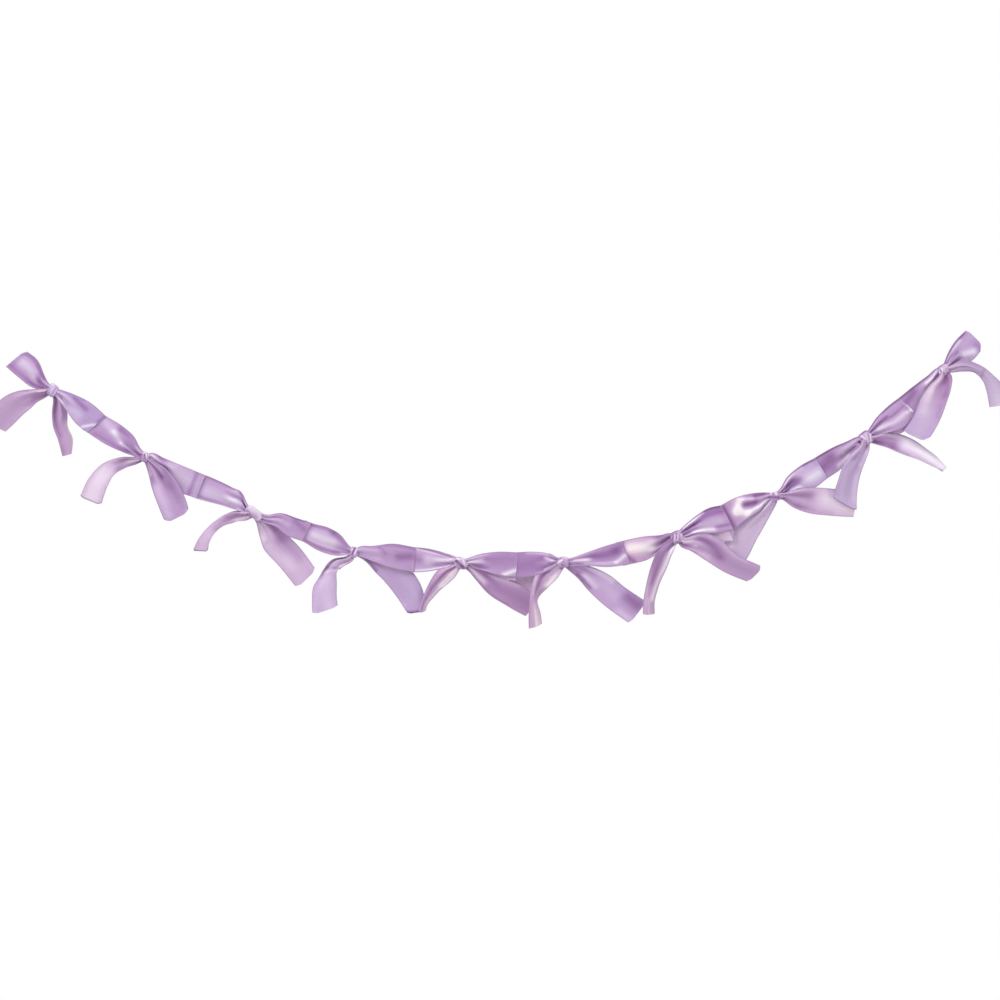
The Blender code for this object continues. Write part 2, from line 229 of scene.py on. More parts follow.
# %% [markdown]
# ## Camera and light
#
# The garland is seen straight on, from far enough away that near and far bows look the same size. Satin
# shows its folds through its reflections, so one soft light stands high on the left, a paler one low on
# the right, and a long one overhead. The room round them is evenly pale, and so is what lies behind the
# garland.

# %% Camera
VIEW_MIDDLE = (484.0 * MM, -141.3 * MM)
VIEW_WIDTH = 1000.0 * MM
LENS = 120.0
SENSOR = 36.0


def add_camera():
    data = bpy.data.cameras.new("camera")
    data.lens, data.sensor_width = LENS, SENSOR
    camera = bpy.data.objects.new("camera", data)
    camera.location = (VIEW_MIDDLE[0], -VIEW_WIDTH * LENS / SENSOR, VIEW_MIDDLE[1])
    camera.rotation_euler = (radians(90), 0, 0)
    bpy.context.scene.collection.objects.link(camera)
    bpy.context.scene.camera = camera
    return camera


camera = add_camera()
print("camera, m from the garland:", round(-camera.location.y, 2))

# %% Lights and room
ROOM_WHITE = (1.0, 1.0, 1.0, 1.0)
ROOM_GLOW = (1.0, 0.98, 1.0, 1.0)
GLOW_STRENGTH = 0.66
SOFTBOXES = {             # place and size, in m, and power, in W
    "high_left": ((-0.9, -1.9, 1.3), (0.9, 0.9), 30),
    "low_right": ((2.2, -1.8, -0.6), (0.8, 0.8), 10),
    "overhead": ((0.5, -0.5, 1.6), (2.0, 0.5), 15),
}


def add_softbox(name, place, size, power):
    """A rectangular light that faces the garland's middle."""
    data = bpy.data.lights.new(name, "AREA")
    data.shape = "RECTANGLE"
    data.size, data.size_y = size
    data.energy = power
    light = bpy.data.objects.new(name, data)
    light.location = place
    aim = np.array((VIEW_MIDDLE[0], 0.0, VIEW_MIDDLE[1])) - np.array(place)
    light.rotation_euler = Vector(aim).to_track_quat("-Z", "Y").to_euler()
    bpy.context.scene.collection.objects.link(light)


def background(tree, colour, strength):
    made = tree.nodes.new("ShaderNodeBackground")
    made.inputs["Color"].default_value = colour
    made.inputs["Strength"].default_value = strength
    return made.outputs[0]


def pale_room():
    """Lights the garland evenly, and looks white behind it."""
    world = bpy.data.worlds.new("pale_room")
    world.use_nodes = True
    tree = world.node_tree
    tree.nodes.clear()
    path = tree.nodes.new("ShaderNodeLightPath")
    pick = tree.nodes.new("ShaderNodeMixShader")
    out = tree.nodes.new("ShaderNodeOutputWorld")
    tree.links.new(path.outputs["Is Camera Ray"], pick.inputs[0])
    tree.links.new(background(tree, ROOM_GLOW, GLOW_STRENGTH), pick.inputs[1])
    tree.links.new(background(tree, ROOM_WHITE, 1.0), pick.inputs[2])
    tree.links.new(pick.outputs[0], out.inputs["Surface"])
    bpy.context.scene.world = world


bpy.context.scene.view_settings.view_transform = "Standard"
for name, (place, size, power) in SOFTBOXES.items():
    add_softbox(name, place, size, power)
pale_room()
print("lights:", [o.name for o in bpy.data.objects if o.type == "LIGHT"])

# %% [markdown]
# ## The ribbon's course
#
# Each limb of a bow is described by a few sections: where the ribbon's middle lies, how wide the ribbon
# shows there, and how it leans and turns. The same sections shape the solid in the frame. Here a smooth
# curve through them is read at short steps, so that creases have something to bend.

# %% The knots, in mm
def entries(kind, *rows):
    return [kind(*row) for row in rows]


def limbs(kind, *tables):
    """One table for each bow, first to last."""
    return [entries(kind, *rows) for rows in tables]


# Middle of each knot from the origin, the slope of its band in degrees, and the size of its band
Knot = namedtuple("Knot", "x z tilt length height")
KNOTS = entries(Knot,
    (36.0, -31.5, -38, 11, 13), (129.0, -98.5, -32, 9, 10), (238.0, -154.5, -38, 19, 10),
    (338.0, -193.5, -12, 8, 11), (445.0, -204.5, -22, 14, 11), (547.0, -203.5, 0, 12, 11),
    (661.0, -178.5, 24, 13, 13), (760.0, -137.5, 12, 13, 9), (850.0, -79.5, 38, 13, 14),
    (928.0, -11.5, 30, 13, 12))
pairs = zip(KNOTS, KNOTS[1:])
print("from knot to knot, mm:", [round(float(np.hypot(b.x - a.x, b.z - a.z))) for a, b in pairs])

# %% Sections of the loops
# From the knot out to the fold: how far right of the knot and up from it the middle lies, how wide the
# ribbon shows there, and the lean of the line across it, from the lower edge to the upper one. Some loops
# also say how far their back layer sags below the front one there, and how far it stands behind.
Fold = namedtuple("Fold", "right up wide lean sag behind", defaults=(0.0, 0.0))
LEFT_LOOPS = limbs(Fold,
    ((-5.5, 3, 8.5, 54), (-14, 9, 17, 44), (-22.5, 20, 25, 47), (-36, 31.5, 25.5, 40)),
    ((-6, 4, 9, 65), (-16, 12.3, 18.5, 56), (-31, 22, 24.5, 49), (-48.5, 33, 25, 40)),
    ((-7.5, 4.5, 9, 78), (-12.3, 10.5, 18, 86), (-24.5, 16, 20, 74), (-53.5, 26.5, 25, 68)),
    ((-4, 1.2, 8, 80), (-15.5, 6.7, 21, 77), (-30, 12.8, 25, 70), (-47.3, 20.2, 20.5, 63)),
    ((-5.5, 2, 8.5, 83), (-16, 2.5, 15, 84), (-30.5, 3, 22, 87), (-46.5, 3.5, 25, 88)),
    ((-6.5, 0.5, 9, 85), (-15.5, 0, 17.5, 88), (-29.5, -1.5, 24, 89, 16, 5),
     (-46.5, -2.5, 25, 85, 9, 4)),
    ((-6, 0, 8, 92), (-16.5, -6, 16, 94), (-30, -10.5, 23, 99), (-51, -15.5, 24.5, 108)),
    ((-7, -0.5, 8, 92), (-18, -5.5, 18, 103), (-31.5, -10.5, 23, 112), (-48.5, -21, 27, 116)),
    ((-7, -3, 9.5, 102), (-16, -9.5, 14, 114), (-28, -19, 22, 116), (-45, -30, 24, 122)),
    ((-4.5, -2, 9, 112), (-11.5, -12.5, 17, 122), (-23, -25.5, 24, 127), (-36.5, -35.5, 23, 136)))
RIGHT_LOOPS = limbs(Fold,
    ((7.5, -3.5, 9, 54), (18.5, -11.5, 17, 50), (31, -22.5, 25, 50), (44.5, -34, 25, 40)),
    ((5, 0, 9, 75), (14, -8, 17, 62), (30, -19, 25, 67), (55.5, -29.5, 25, 68)),
    ((11, -5.2, 8, 70), (24.5, -6.5, 14, 67), (38, -13.7, 20, 63), (52.7, -18.8, 20.5, 63)),
    ((5, 0.8, 9.5, 88), (18, -1.2, 15, 88), (38, -3.5, 24, 88), (60.5, -7.5, 25, 88)),
    ((6.5, 1, 8, 86), (18.5, 1.5, 15, 87, 1), (36.5, 0, 23, 88, 3), (55.5, -1.5, 25, 85, 4)),
    ((8.5, 0.5, 8, 85), (23.5, 3, 13, 94), (43, 5.5, 21, 100), (63, 9.5, 24.5, 108)),
    ((5.5, 4, 9, 110), (17, 10.5, 15, 112, 2), (32.5, 16, 25, 106, 8), (50.5, 20, 27, 116, 12)),
    ((6.5, 4, 8, 130), (16, 12.5, 16, 128), (31.5, 19.5, 26, 120), (45, 28, 24, 122)),
    ((5, 5, 8.5, 122), (15, 12.5, 18, 124, 1), (29.5, 21.5, 26, 125, 5), (41.5, 32.5, 23, 136, 3)),
    ((3, 3.5, 8.5, 140), (9.5, 9.5, 17, 140), (18.5, 18, 25, 134), (31, 31.8, 24.5, 135)))
sagging = [rows for rows in LEFT_LOOPS + RIGHT_LOOPS if any(row.sag for row in rows)]
print("loops whose back layer sags:", len(sagging))

# %% Sections of the tails
# From the knot out to the cut end. Turn is how far the ribbon is twisted round its own length there, and
# front is how far its middle stands towards the viewer.
Section = namedtuple("Section", "right up wide lean turn front")
LEFT_TAILS = limbs(Section,
    ((-6, -2.5, 9, 95, 0, 1), (-16.5, -5.5, 13.5, 110, 0, 2), (-25.5, -9, 20, 120, 5, 3),
     (-34, -13.5, 24, 123, 10, 4), (-58, -36, 26, 155, 15, 6)),
    ((-8, -2.8, 7, 110, 0, -2), (-23, -5.2, 12.5, 122, -30, -3), (-36, -11.5, 16.5, 136, -38, 0),
     (-45.5, -23.5, 21, 153, -30, 3), (-54, -44, 23.5, 158, -20, 5)),
    ((-8, -2, 10, 110, 0, 0), (-20, -3.5, 11, 113, -40, -1), (-34, -9.5, 8.5, 138, -60, 0),
     (-44, -18.5, 10, 150, -60, 1), (-50, -27.5, 12.5, 166, -50, 2), (-53.5, -38, 16, 178, -45, 2)),
    ((-3, -5, 7, 140, 0, 0), (-17.5, -11.5, 12.5, 150, -50, -2), (-25.5, -21, 18, 195, -35, -1),
     (-29, -34, 24, 186, -15, 1), (-29.5, -48, 25, 188, 0, 2), (-28.5, -58.5, 26.5, 198, 10, 3)),
    ((-5, -4, 9, 148, 0, 0), (-13.5, -9.5, 16, 150, 30, 0), (-24, -20.5, 14, 149, 45, 4),
     (-31.8, -31.5, 10, 148, 50, 9), (-37, -40.5, 7, 155, 55, 10), (-39.5, -49, 7.5, 165, 50, 11)),
    ((-7, -7, 12, 150, 0, -0.5), (-15.5, -13, 20, 160, 0, -1.5), (-24, -25, 16, 170, 40, 0),
     (-29.5, -38, 8, 178, 62, 6), (-28.5, -50, 11.5, 180, 55, 7), (-27.5, -64.5, 13.5, 192, 50, 7)),
    ((-5, -6, 9, 155, 0, 2), (-12.5, -15, 15, 174, 30, 7), (-18.8, -30.5, 16, 174, 40, 6),
     (-25.2, -50, 13.5, 182, 45, 5), (-28.3, -65, 12, 180, 50, 5), (-28.3, -77.5, 12.5, 180, 50, 4)),
    ((-3.5, -6, 8.5, 170, 0, -1), (-11, -16, 13, 165, 0, -4), (-22, -28, 21, 160, 0, -6),
     (-32, -40, 26.5, 156, 0, -6), (-40.5, -55, 28, 148, 0, -5), (-46.5, -62.5, 28, 148, 0, -5)),
    ((-1.5, -8, 9.5, 175, 0, 3), (-6.5, -15.5, 16, 176, 20, 7), (-13, -26.5, 20, 170, 20, 8),
     (-18.5, -43, 21.5, 174, 20, 9), (-21, -55, 23.5, 163, 15, 9), (-22, -67, 27, 150, 0, 9)),
    ((1, -5, 12, 178, 0, 3), (-4, -15.5, 21.5, 177, 0, 6), (-11, -30.5, 26, 168, 0, 6),
     (-18, -48.5, 26, 165, 0, 5), (-29.5, -67, 26.5, 156, 0, 3)))
RIGHT_TAILS = limbs(Section,
    ((5, -7, 8.5, 0, 0, 0), (7, -21, 13.5, 2, -40, -3), (8, -36, 12, 0, -55, -2),
     (13.2, -49, 12, 9, -55, 0), (15.2, -65, 7.5, 16, -62, 1)),
    ((4, -4.5, 8, 20, 0, 3), (12, -13.5, 17, 22, 0, 6), (19.5, -27, 25, 20, 0, 7.5),
     (27, -43.5, 28, 16, 0, 8), (33.3, -60.5, 27, 26, 10, 8)),
    ((6.5, -7.5, 9.5, 20, 0, -1), (14, -17, 20, 25, 0, -4), (21.5, -29, 28, 35, 0, -5),
     (35, -43.5, 28, 40, 0, -4), (52.5, -66, 27, 43, 10, -2)),
    ((5.5, -0.5, 9, 50, 0, -1), (18.5, -3, 19, 47, 0, -4), (31.5, -11.5, 27, 40, 0, -5),
     (47.3, -28, 28, 36, 0, -5), (57.5, -43.7, 26, 36, 0, -3), (63, -60.5, 17, 8, -30, -1)),
    ((8, -3.5, 7.5, 56, 0, -1), (20.5, -12, 15, 53, 0, -4), (35.8, -23.7, 22, 50, 18, -5),
     (54.3, -33.2, 25.5, 55, 15, -5), (69.3, -42.5, 24, 78, 15, -4)),
    ((6.5, -3.5, 8, 50, 0, -1), (22, -10.5, 18, 40, 0, -4), (35, -20, 25.5, 39, 0, -5),
     (51.7, -34.2, 27.5, 41, 0, -4), (75.3, -50.7, 27.5, 53, 0, -3)),
    ((5, -4, 10, 60, 0, 2), (18.5, -4.8, 20.5, 62, 0, 5), (34.6, -12, 25.5, 59, 10, 7),
     (51.5, -25, 21.5, 59, 20, 8), (78.3, -37.3, 20.5, 50, 30, 9)),
    ((7.5, 0, 7.5, 65, 0, 3), (18.5, -2, 18, 74, 0, 6), (33.5, -4, 25.5, 79, 0, 5),
     (55, -6, 27, 82, 0, 2), (79, -8.5, 25, 87, 0, 0)),
    ((6, -1, 7.5, 72, 0, 1), (20.5, -1.5, 16.5, 79, -35, 1), (40, -7.7, 19, 64, -45, 1),
     (57.5, -16.5, 14.5, 54, -55, 1), (70, -24.5, 11, 50, -62, 1), (78.5, -31.5, 3.5, 42, -72, 1)),
    ((6, 1, 7, 105, 0, 3), (17, 4, 11.5, 92, 40, 6), (32, 1.2, 8.5, 74, 60, 6),
     (43.8, -8.8, 10, 30, 58, 6), (51.5, -19.8, 17.5, 6, 40, 5), (58, -35.5, 25, 7, 20, 4)))
print("limbs described:", len(LEFT_LOOPS) + len(RIGHT_LOOPS) + len(LEFT_TAILS) + len(RIGHT_TAILS))

# %% [markdown]
# ## From sections to cloth
#
# A strip is a grid of points: rows along the ribbon and columns across it. Places on the cloth are told
# the way a sewer would, in millimetres of flat ribbon: how far along from the knot, and how far across
# from the middle, from -14 at the lower edge to 14 at the upper one. The limb's table is read through a
# smooth curve, which keeps the ribbon free of the kinks that straight pieces between sections would give.

# %% Reading a smooth curve through a table
ROOT_PLACE = 0.3         # where a limb starts inside its knot, as a share of its first section's offset
ROOT_WIDTH = 0.75        # and how wide it is there, as a share of that section's width


def smooth_table(rows, count):
    """The table's columns at even steps along its middle line, on a smooth curve through its rows."""
    table = np.array(rows, dtype=float)
    steps = np.hypot(*np.diff(table[:, :2], axis=0).T)
    place = np.concatenate(([0.0], np.cumsum(steps)))
    slopes = np.gradient(table, place, axis=0)
    wanted = np.linspace(0.0, place[-1], count)
    i = np.clip(np.searchsorted(place, wanted, side="right") - 1, 0, len(place) - 2)
    span = (place[i + 1] - place[i])[:, None]
    t = (wanted - place[i])[:, None] / span
    near = (1 + 2 * t) * (1 - t) ** 2 * table[i] + t * (1 - t) ** 2 * span * slopes[i]
    far = t * t * (3 - 2 * t) * table[i + 1] + t * t * (t - 1) * span * slopes[i + 1]
    return near + far


def table_length(rows):
    places = np.array([row[:2] for row in rows], dtype=float)
    return float(np.hypot(*np.diff(places, axis=0).T).sum())


def inside_knot(rows):
    """The limb with one more section in front, inside the knot that holds it."""
    first = rows[0]
    root = first._replace(right=first.right * ROOT_PLACE, up=first.up * ROOT_PLACE,
                          wide=first.wide * ROOT_WIDTH)
    return [root] + list(rows)


print("left tails, mm:", [round(table_length(inside_knot(rows))) for rows in LEFT_TAILS])

# %% [markdown]
# ## Gathers and creases
#
# Two things shape the cloth between its sections. Close to the knot the ribbon is squeezed to a third of
# its width, so the spare cloth stands up in a few gathers that spread and die out along the limb, each
# limb's a little different, with a painted highlight on their tops. The creases that make each bow its own
# are then pressed in one by one: every row of a `Press` table is a soft ridge or trough from one place on
# the flat ribbon to another, with its own softness, height and painted light and shade.

# %% Gathers
COLUMNS = 37             # points across the ribbon
ACROSS = np.linspace(-1, 1, COLUMNS)
GATHERS = 2.2            # waves across the ribbon
GATHERS_VARY = 0.5       # more or fewer
GATHER_DRIFT = 0.8       # how far they move sideways on their way out
MAIN_WAVE = 0.75         # share of their height that even waves have
SIDE_WAVE = 0.35         # and the share of the longer waves that make them uneven
SIDE_PITCH = 0.47        # of which there are this many for each even one
GATHER_SHARE = 0.36      # how much of the spare cloth stands up as gathers
GATHER_LIMIT = 1.4       # highest gather
GATHER_FADE = 0.55       # share of a limb's length over which they die out
GATHER_HIGHLIGHT = 0.16       # painted highlight: how much paler the top of the highest gather is painted
TINY = 1e-9              # keeps a root or a division safe


def gather_waves(chance, share):
    """Heights from -1 to 1: uneven waves across the ribbon that drift a little on their way out."""
    drift = chance.uniform(-GATHER_DRIFT, GATHER_DRIFT)
    first, second = chance.uniform(0, 2 * pi, 2)
    count = GATHERS + chance.uniform(-GATHERS_VARY, GATHERS_VARY)
    wave = np.cos(pi * count * ACROSS + first + drift * share)
    uneven = np.cos(pi * count * SIDE_PITCH * ACROSS + second - drift * share)
    return MAIN_WAVE * wave + SIDE_WAVE * uneven


def gather_height(wide, turn, share):
    """How high the gathers stand where the flat ribbon is wider than the room it has."""
    laid = np.minimum(wide / np.cos(np.radians(turn)), RIBBON_WIDTH)
    spare = np.sqrt(RIBBON_WIDTH / laid - 1.0 + TINY)
    height = GATHER_SHARE * laid / GATHERS * spare * np.maximum(0.0, 1 - (share / GATHER_FADE) ** 2)
    return np.minimum(height, GATHER_LIMIT)


print("gathers of a ribbon drawn in to 27 mm, mm high:", round(float(gather_height(27.0, 0.0, 0.0)), 2))

# %% Pressing creases
Press = namedtuple("Press", "along across to_along to_across soft rise tone")


def pressed(presses, along, across):
    """Height and painted light and shade of all the presses at places on the flat ribbon."""
    height = np.zeros_like(along)
    tone = np.zeros_like(along)
    for row in presses:
        run = np.array((row.to_along - row.along, row.to_across - row.across), dtype=float)
        offset = np.stack((along - row.along, across - row.across))
        share = np.clip((offset[0] * run[0] + offset[1] * run[1]) / max(run @ run, TINY), 0.0, 1.0)
        away = np.hypot(offset[0] - share * run[0], offset[1] - share * run[1])
        shape = np.exp(-(away / row.soft) ** 2)
        height += row.rise * shape
        tone += row.tone * shape
    return height, tone


ridge = [Press(0, 0, 10, 0, 3, 1, 0)]
print("a ridge 1 mm high, 0, 3 and 6 mm away:",
      pressed(ridge, np.array([5.0, 5.0, 5.0]), np.array([0.0, 3.0, 6.0]))[0].round(2))

# %% [markdown]
# ## Skins
#
# Every piece of cloth becomes a closed thin skin: two sheets of faces a ribbon's thickness apart, joined
# round the rim. A Solidify modifier could do that, but here each point also needs its place on the flat
# ribbon and its paint, so `Cloth` builds the skins of one bow itself.

# %% Which way the cloth runs
FACING = np.array((0.0, -1.0, 0.0))


def directions(grid, axis):
    """The grid's direction at each point: midway between those of the steps that meet there."""
    steps = np.moveaxis(np.diff(grid, axis=axis), axis, 0)
    steps = steps / np.linalg.norm(steps, axis=2, keepdims=True)
    mean = np.concatenate((steps[:1], steps[:-1] + steps[1:], steps[-1:]))
    return np.moveaxis(mean, 0, axis)


print("from the cloth towards the viewer:", FACING)

# %% Building the skins
CLOTH = 0.3              # thickness of the ribbon
EDGE_CLOTH = 0.42        # and at its woven edges
EDGE_WIDTH = 1.5         # width of the thicker edge
SHARP = radians(60)      # where two faces meet at more than this, the shading breaks
Paint = namedtuple("Paint", "tone dull_front dull_back cut cool")


class Cloth:
    """The skins of one bow, ready to become a mesh."""

    def __init__(self):
        self.points, self.faces, self.places = [], [], []
        self.paint = {"tone": [], "dull": [], "cut": [], "cool": []}
        self.count = 0

    def add(self, points, faces, places, **paint):
        self.points.append(points.reshape(-1, 3))
        self.faces += [tuple(self.count + i for i in face) for face in faces]
        self.places.append(places.reshape(-1, 2))
        for name, values in paint.items():
            self.paint[name].append(values.ravel())
        self.count += points.size // 3

    def add_strip(self, grid, along, across, paint):
        """A strip of ribbon from the points of its middle surface, in mm; its first rows face the front."""
        normal = np.cross(directions(grid, 0), directions(grid, 1))
        normal /= np.linalg.norm(normal, axis=2, keepdims=True)
        dulls = [paint.dull_front, paint.dull_back]    # for the skin on the normal's side, and the other
        if (normal[:len(grid) // 3] @ FACING).mean() < 0:
            dulls.reverse()
        rows, columns = grid.shape[:2]
        edge = np.clip((np.abs(across) - (RIBBON_WIDTH / 2 - EDGE_WIDTH)) / EDGE_WIDTH, 0, 1)[..., None]
        half = (CLOTH + (EDGE_CLOTH - CLOTH) * edge) / 2
        skins = np.stack((grid + normal * half, grid - normal * half))
        top, bottom = np.arange(2 * rows * columns).reshape(2, rows, columns)
        faces = list(zip(top[:-1, :-1].flat, top[1:, :-1].flat, top[1:, 1:].flat, top[:-1, 1:].flat))
        faces += zip(bottom[:-1, :-1].flat, bottom[:-1, 1:].flat, bottom[1:, 1:].flat, bottom[1:, :-1].flat)
        rim = [(0, j) for j in range(columns)] + [(i, columns - 1) for i in range(1, rows)]
        rim += [(rows - 1, j) for j in range(columns - 2, -1, -1)]
        rim += [(i, 0) for i in range(rows - 2, 0, -1)]
        for here, there in zip(rim, rim[1:] + rim[:1]):
            faces.append((top[here], top[there], bottom[there], bottom[here]))
        places = np.stack((across, along), axis=2)
        self.add(skins, faces, np.stack((places, places)), tone=np.stack((paint.tone, paint.tone)),
                 dull=np.stack(dulls), cut=np.stack((paint.cut, paint.cut)),
                 cool=np.stack((paint.cool, paint.cool)))

    def make(self, name):
        """The finished object, at the origin, in metres."""
        mesh = bpy.data.meshes.new(name)
        points = np.concatenate(self.points) * MM
        mesh.from_pydata(points.tolist(), [], self.faces)
        for label, values in self.paint.items():
            layer = mesh.attributes.new(label, "FLOAT", "POINT")
            layer.data.foreach_set("value", np.concatenate(values).astype(np.float32))
        corners = np.zeros(len(mesh.loops), dtype=np.int32)
        mesh.loops.foreach_get("vertex_index", corners)
        uv = mesh.uv_layers.new(name="cloth")
        flat = (np.concatenate(self.places) * MM)[corners]
        uv.data.foreach_set("uv", flat.astype(np.float32).ravel())
        mesh.validate()
        mesh.update()
        mesh.shade_smooth()
        mesh.set_sharp_from_angle(angle=SHARP)
        thing = bpy.data.objects.new(name, mesh)
        bpy.context.scene.collection.objects.link(thing)
        return thing


print("painted on each point:", list(Cloth().paint))

# %% [markdown]
# ## Loops and tails
#
# A loop is one strip: the front layer out from the knot to the fold, round the fold, and back home
# behind. Its bright side is outside all the way. A tail is a single strip from the knot to its cut end.
# Both are laid out as if the ribbon were stiff, from the smooth curve, and then take their curl, gathers
# and presses as relief, out from the cloth.

# %% Points across the ribbon
ROW_STEP = 0.95          # from one row of points to the next along the ribbon
CURL_SHARE = 0.6         # how much of the solid's curl the thin cloth takes, beside its gathers
CURL_FLAT = 6.0          # the solid's curl is this much shallower than its spare cloth allows


def strip_points(middle, wide, lean, turn, relief):
    """Points across the ribbon at each section: a level line, turned about its length, plus relief."""
    lean, turn = np.radians(lean), np.radians(turn)
    level = np.stack((np.cos(lean), 0 * lean, np.sin(lean)), axis=1)
    across = level * np.cos(turn)[:, None] + FACING * np.sin(turn)[:, None]
    out = FACING * np.cos(turn)[:, None] - level * np.sin(turn)[:, None]
    half = np.minimum(wide / np.cos(turn), RIBBON_WIDTH) / 2
    return (middle[:, None, :] + across[:, None, :] * (ACROSS * half[:, None])[..., None]
            + out[:, None, :] * relief[..., None])


def soft_curl(wide, turn, limit):
    """The S across the ribbon that the solid has too."""
    laid = np.minimum(wide / np.cos(np.radians(turn)), RIBBON_WIDTH)
    depth = np.minimum(limit, np.sqrt(RIBBON_WIDTH ** 2 - laid ** 2) / CURL_FLAT)
    return depth[:, None] * np.sin(pi * ACROSS) * CURL_SHARE


print("columns across the ribbon:", COLUMNS, "from row to row, mm:", ROW_STEP)

# %% Rounding the corners
CORNER_START = 0.45      # where a rounded corner starts, from 0 at the ribbon's middle to 1 at its edge
CORNER_FADE = 12.0       # how far from the end the rounding is felt
CORNER_EASE = 1.5        # and how gently it sets in there


def round_corners(grid, along, look):
    """Draws the two corners at the end of a strip in, by so many mm at its lower and at its upper edge."""
    reach = along[-1, 0] - along[:, :1]
    fade = np.clip(1 - reach / CORNER_FADE, 0, 1) ** CORNER_EASE
    near_edge = np.clip((np.abs(ACROSS) - CORNER_START) / (1 - CORNER_START), 0, 1) ** 2
    amount = np.where(ACROSS < 0, look.low_corner, look.high_corner) * near_edge
    source = along[:, :1] - fade * amount[None, :]
    rounded = grid.copy()
    for j in range(COLUMNS):
        for k in range(3):
            rounded[:, j, k] = np.interp(source[:, j], along[:, 0], grid[:, j, k])
    return rounded


print("corners are rounded over the last", CORNER_FADE, "mm")

# %% A tail
CURL_LIMIT = 4.0         # deepest curl of a tail
SEALED_END = (1.3, 0.8)  # how far from the cut its dark seal starts, and over what length it deepens
TAIL_BACK_DULL = 0.5     # how dull the hidden side of a tail is


def add_tail(cloth, knot, rows, presses, look, chance):
    """Adds a tail to the bow's cloth, and tells how much ribbon it took."""
    rows = inside_knot(rows)
    length = table_length(rows)
    table = smooth_table(rows, int(length / ROW_STEP) + 1)
    right, up, wide, lean, turn, front = table.T
    share = np.linspace(0, 1, len(table))
    along, across = np.meshgrid(share * length, ACROSS * RIBBON_WIDTH / 2, indexing="ij")
    waves = gather_waves(chance, share[:, None])
    high = look.gathered * gather_height(wide, turn, share)[:, None]
    height, tone = pressed(presses, along, across)
    relief = soft_curl(wide, turn, CURL_LIMIT) + waves * high + height
    middle = np.stack((knot.x + right, -front, knot.z + up), axis=1)
    grid = round_corners(strip_points(middle, wide, lean, turn, relief), along, look)
    # Painted light and shade: the limb's own, its presses', and a painted highlight on the gathers' tops
    tone = look.tone + tone + GATHER_HIGHLIGHT * waves * high / GATHER_LIMIT
    flat = np.ones_like(tone)
    cut = np.clip((along - (length - SEALED_END[0])) / SEALED_END[1], 0, 1)
    # A painted tint of the light, from the knot to the end
    cool = (look.cool_in + (look.cool_out - look.cool_in) * share[:, None]) * flat
    cloth.add_strip(grid, along, across,
                    Paint(tone, look.dull * flat, TAIL_BACK_DULL * flat, cut * look.sealed, cool))
    return length


print("deepest curl of a tail, mm:", CURL_LIMIT * CURL_SHARE)

# %% Steps of a loop
LAP_STEP = 0.8           # how far a sewn loop end stands in front of, or behind, the middle plane
LAP_FLAT = 9.0           # length of the flat end of a loop, where it is sewn
KNOT_HALF_GAP = 1.1      # from the middle plane of a loop to the middle of a layer, at the knot
FOLD_HALF_GAP = 0.55     # and at its fold
LOOP_PUFF = 1.3          # how much further apart the layers stand at the loop's belly
FOLD_ANGLES = (30, 60, 90, 120, 150)    # rows of points round the fold, in degrees
FOLD_LENGTH = 3.5        # ribbon that the fold takes
FOLD_MARGIN = 0.5        # of which this much lies before its first row, and after its last


def loop_step(reach, length, step):
    """How far the loop's middle plane has moved forward or back, at a distance from its knot."""
    t = np.minimum(reach / (length - LAP_FLAT), 1.0)
    return step * t * t * (3 - 2 * t)


def drawn_out(rows, extra):
    """The loop with its folded end drawn out, to reach behind its neighbour's."""
    last, before = rows[-1], rows[-2]
    way = np.array((last.right - before.right, last.up - before.up), dtype=float)
    way *= extra / np.linalg.norm(way)
    return rows + [last._replace(right=last.right + way[0], up=last.up + way[1])]


def fold_rows(front, back, way):
    """Points round the fold, from the last row of the front layer to that of the back layer."""
    outward = np.array((way[0], 0.0, way[1])) * FOLD_HALF_GAP / np.linalg.norm(way)
    rows = []
    for angle in np.radians(FOLD_ANGLES):
        share_back = (1 - np.cos(angle)) / 2
        rows.append(front[-1:] * (1 - share_back) + back[-1:] * share_back + outward * np.sin(angle))
    return rows


print("a loop's plane on its way to the lap, mm:", loop_step(np.arange(0, 50, 10), 50.0, LAP_STEP).round(2))

# %% A loop
PLEAT_LIMIT = 2.2        # deepest pleat of a loop
PLEAT_FADE = 0.8         # share of a loop's length over which the knot's pleats die out
TROUGH_BEHIND = 0.8      # how much of a front layer's trough the back layer follows
RIDGE_BEHIND = -0.5      # and of its ridge, which it leaves room for
SAG_PAINTED_LIGHT = 0.025        # painted light: how much paler a back layer is painted for each mm that it sags
SAG_THROUGH_LIGHT_TINT = 0.3           # and how much pinker, painted light falling through it
SAG_OPEN = 6.0           # how far it sags where that is in full
SAG_SHADE_LIFT = 0.75         # painted light on a patch in shade: how much less dull its inner side is painted as it opens, at most
STITCH_INSET = 1.9       # how far from the fold a loop is stitched to its neighbour


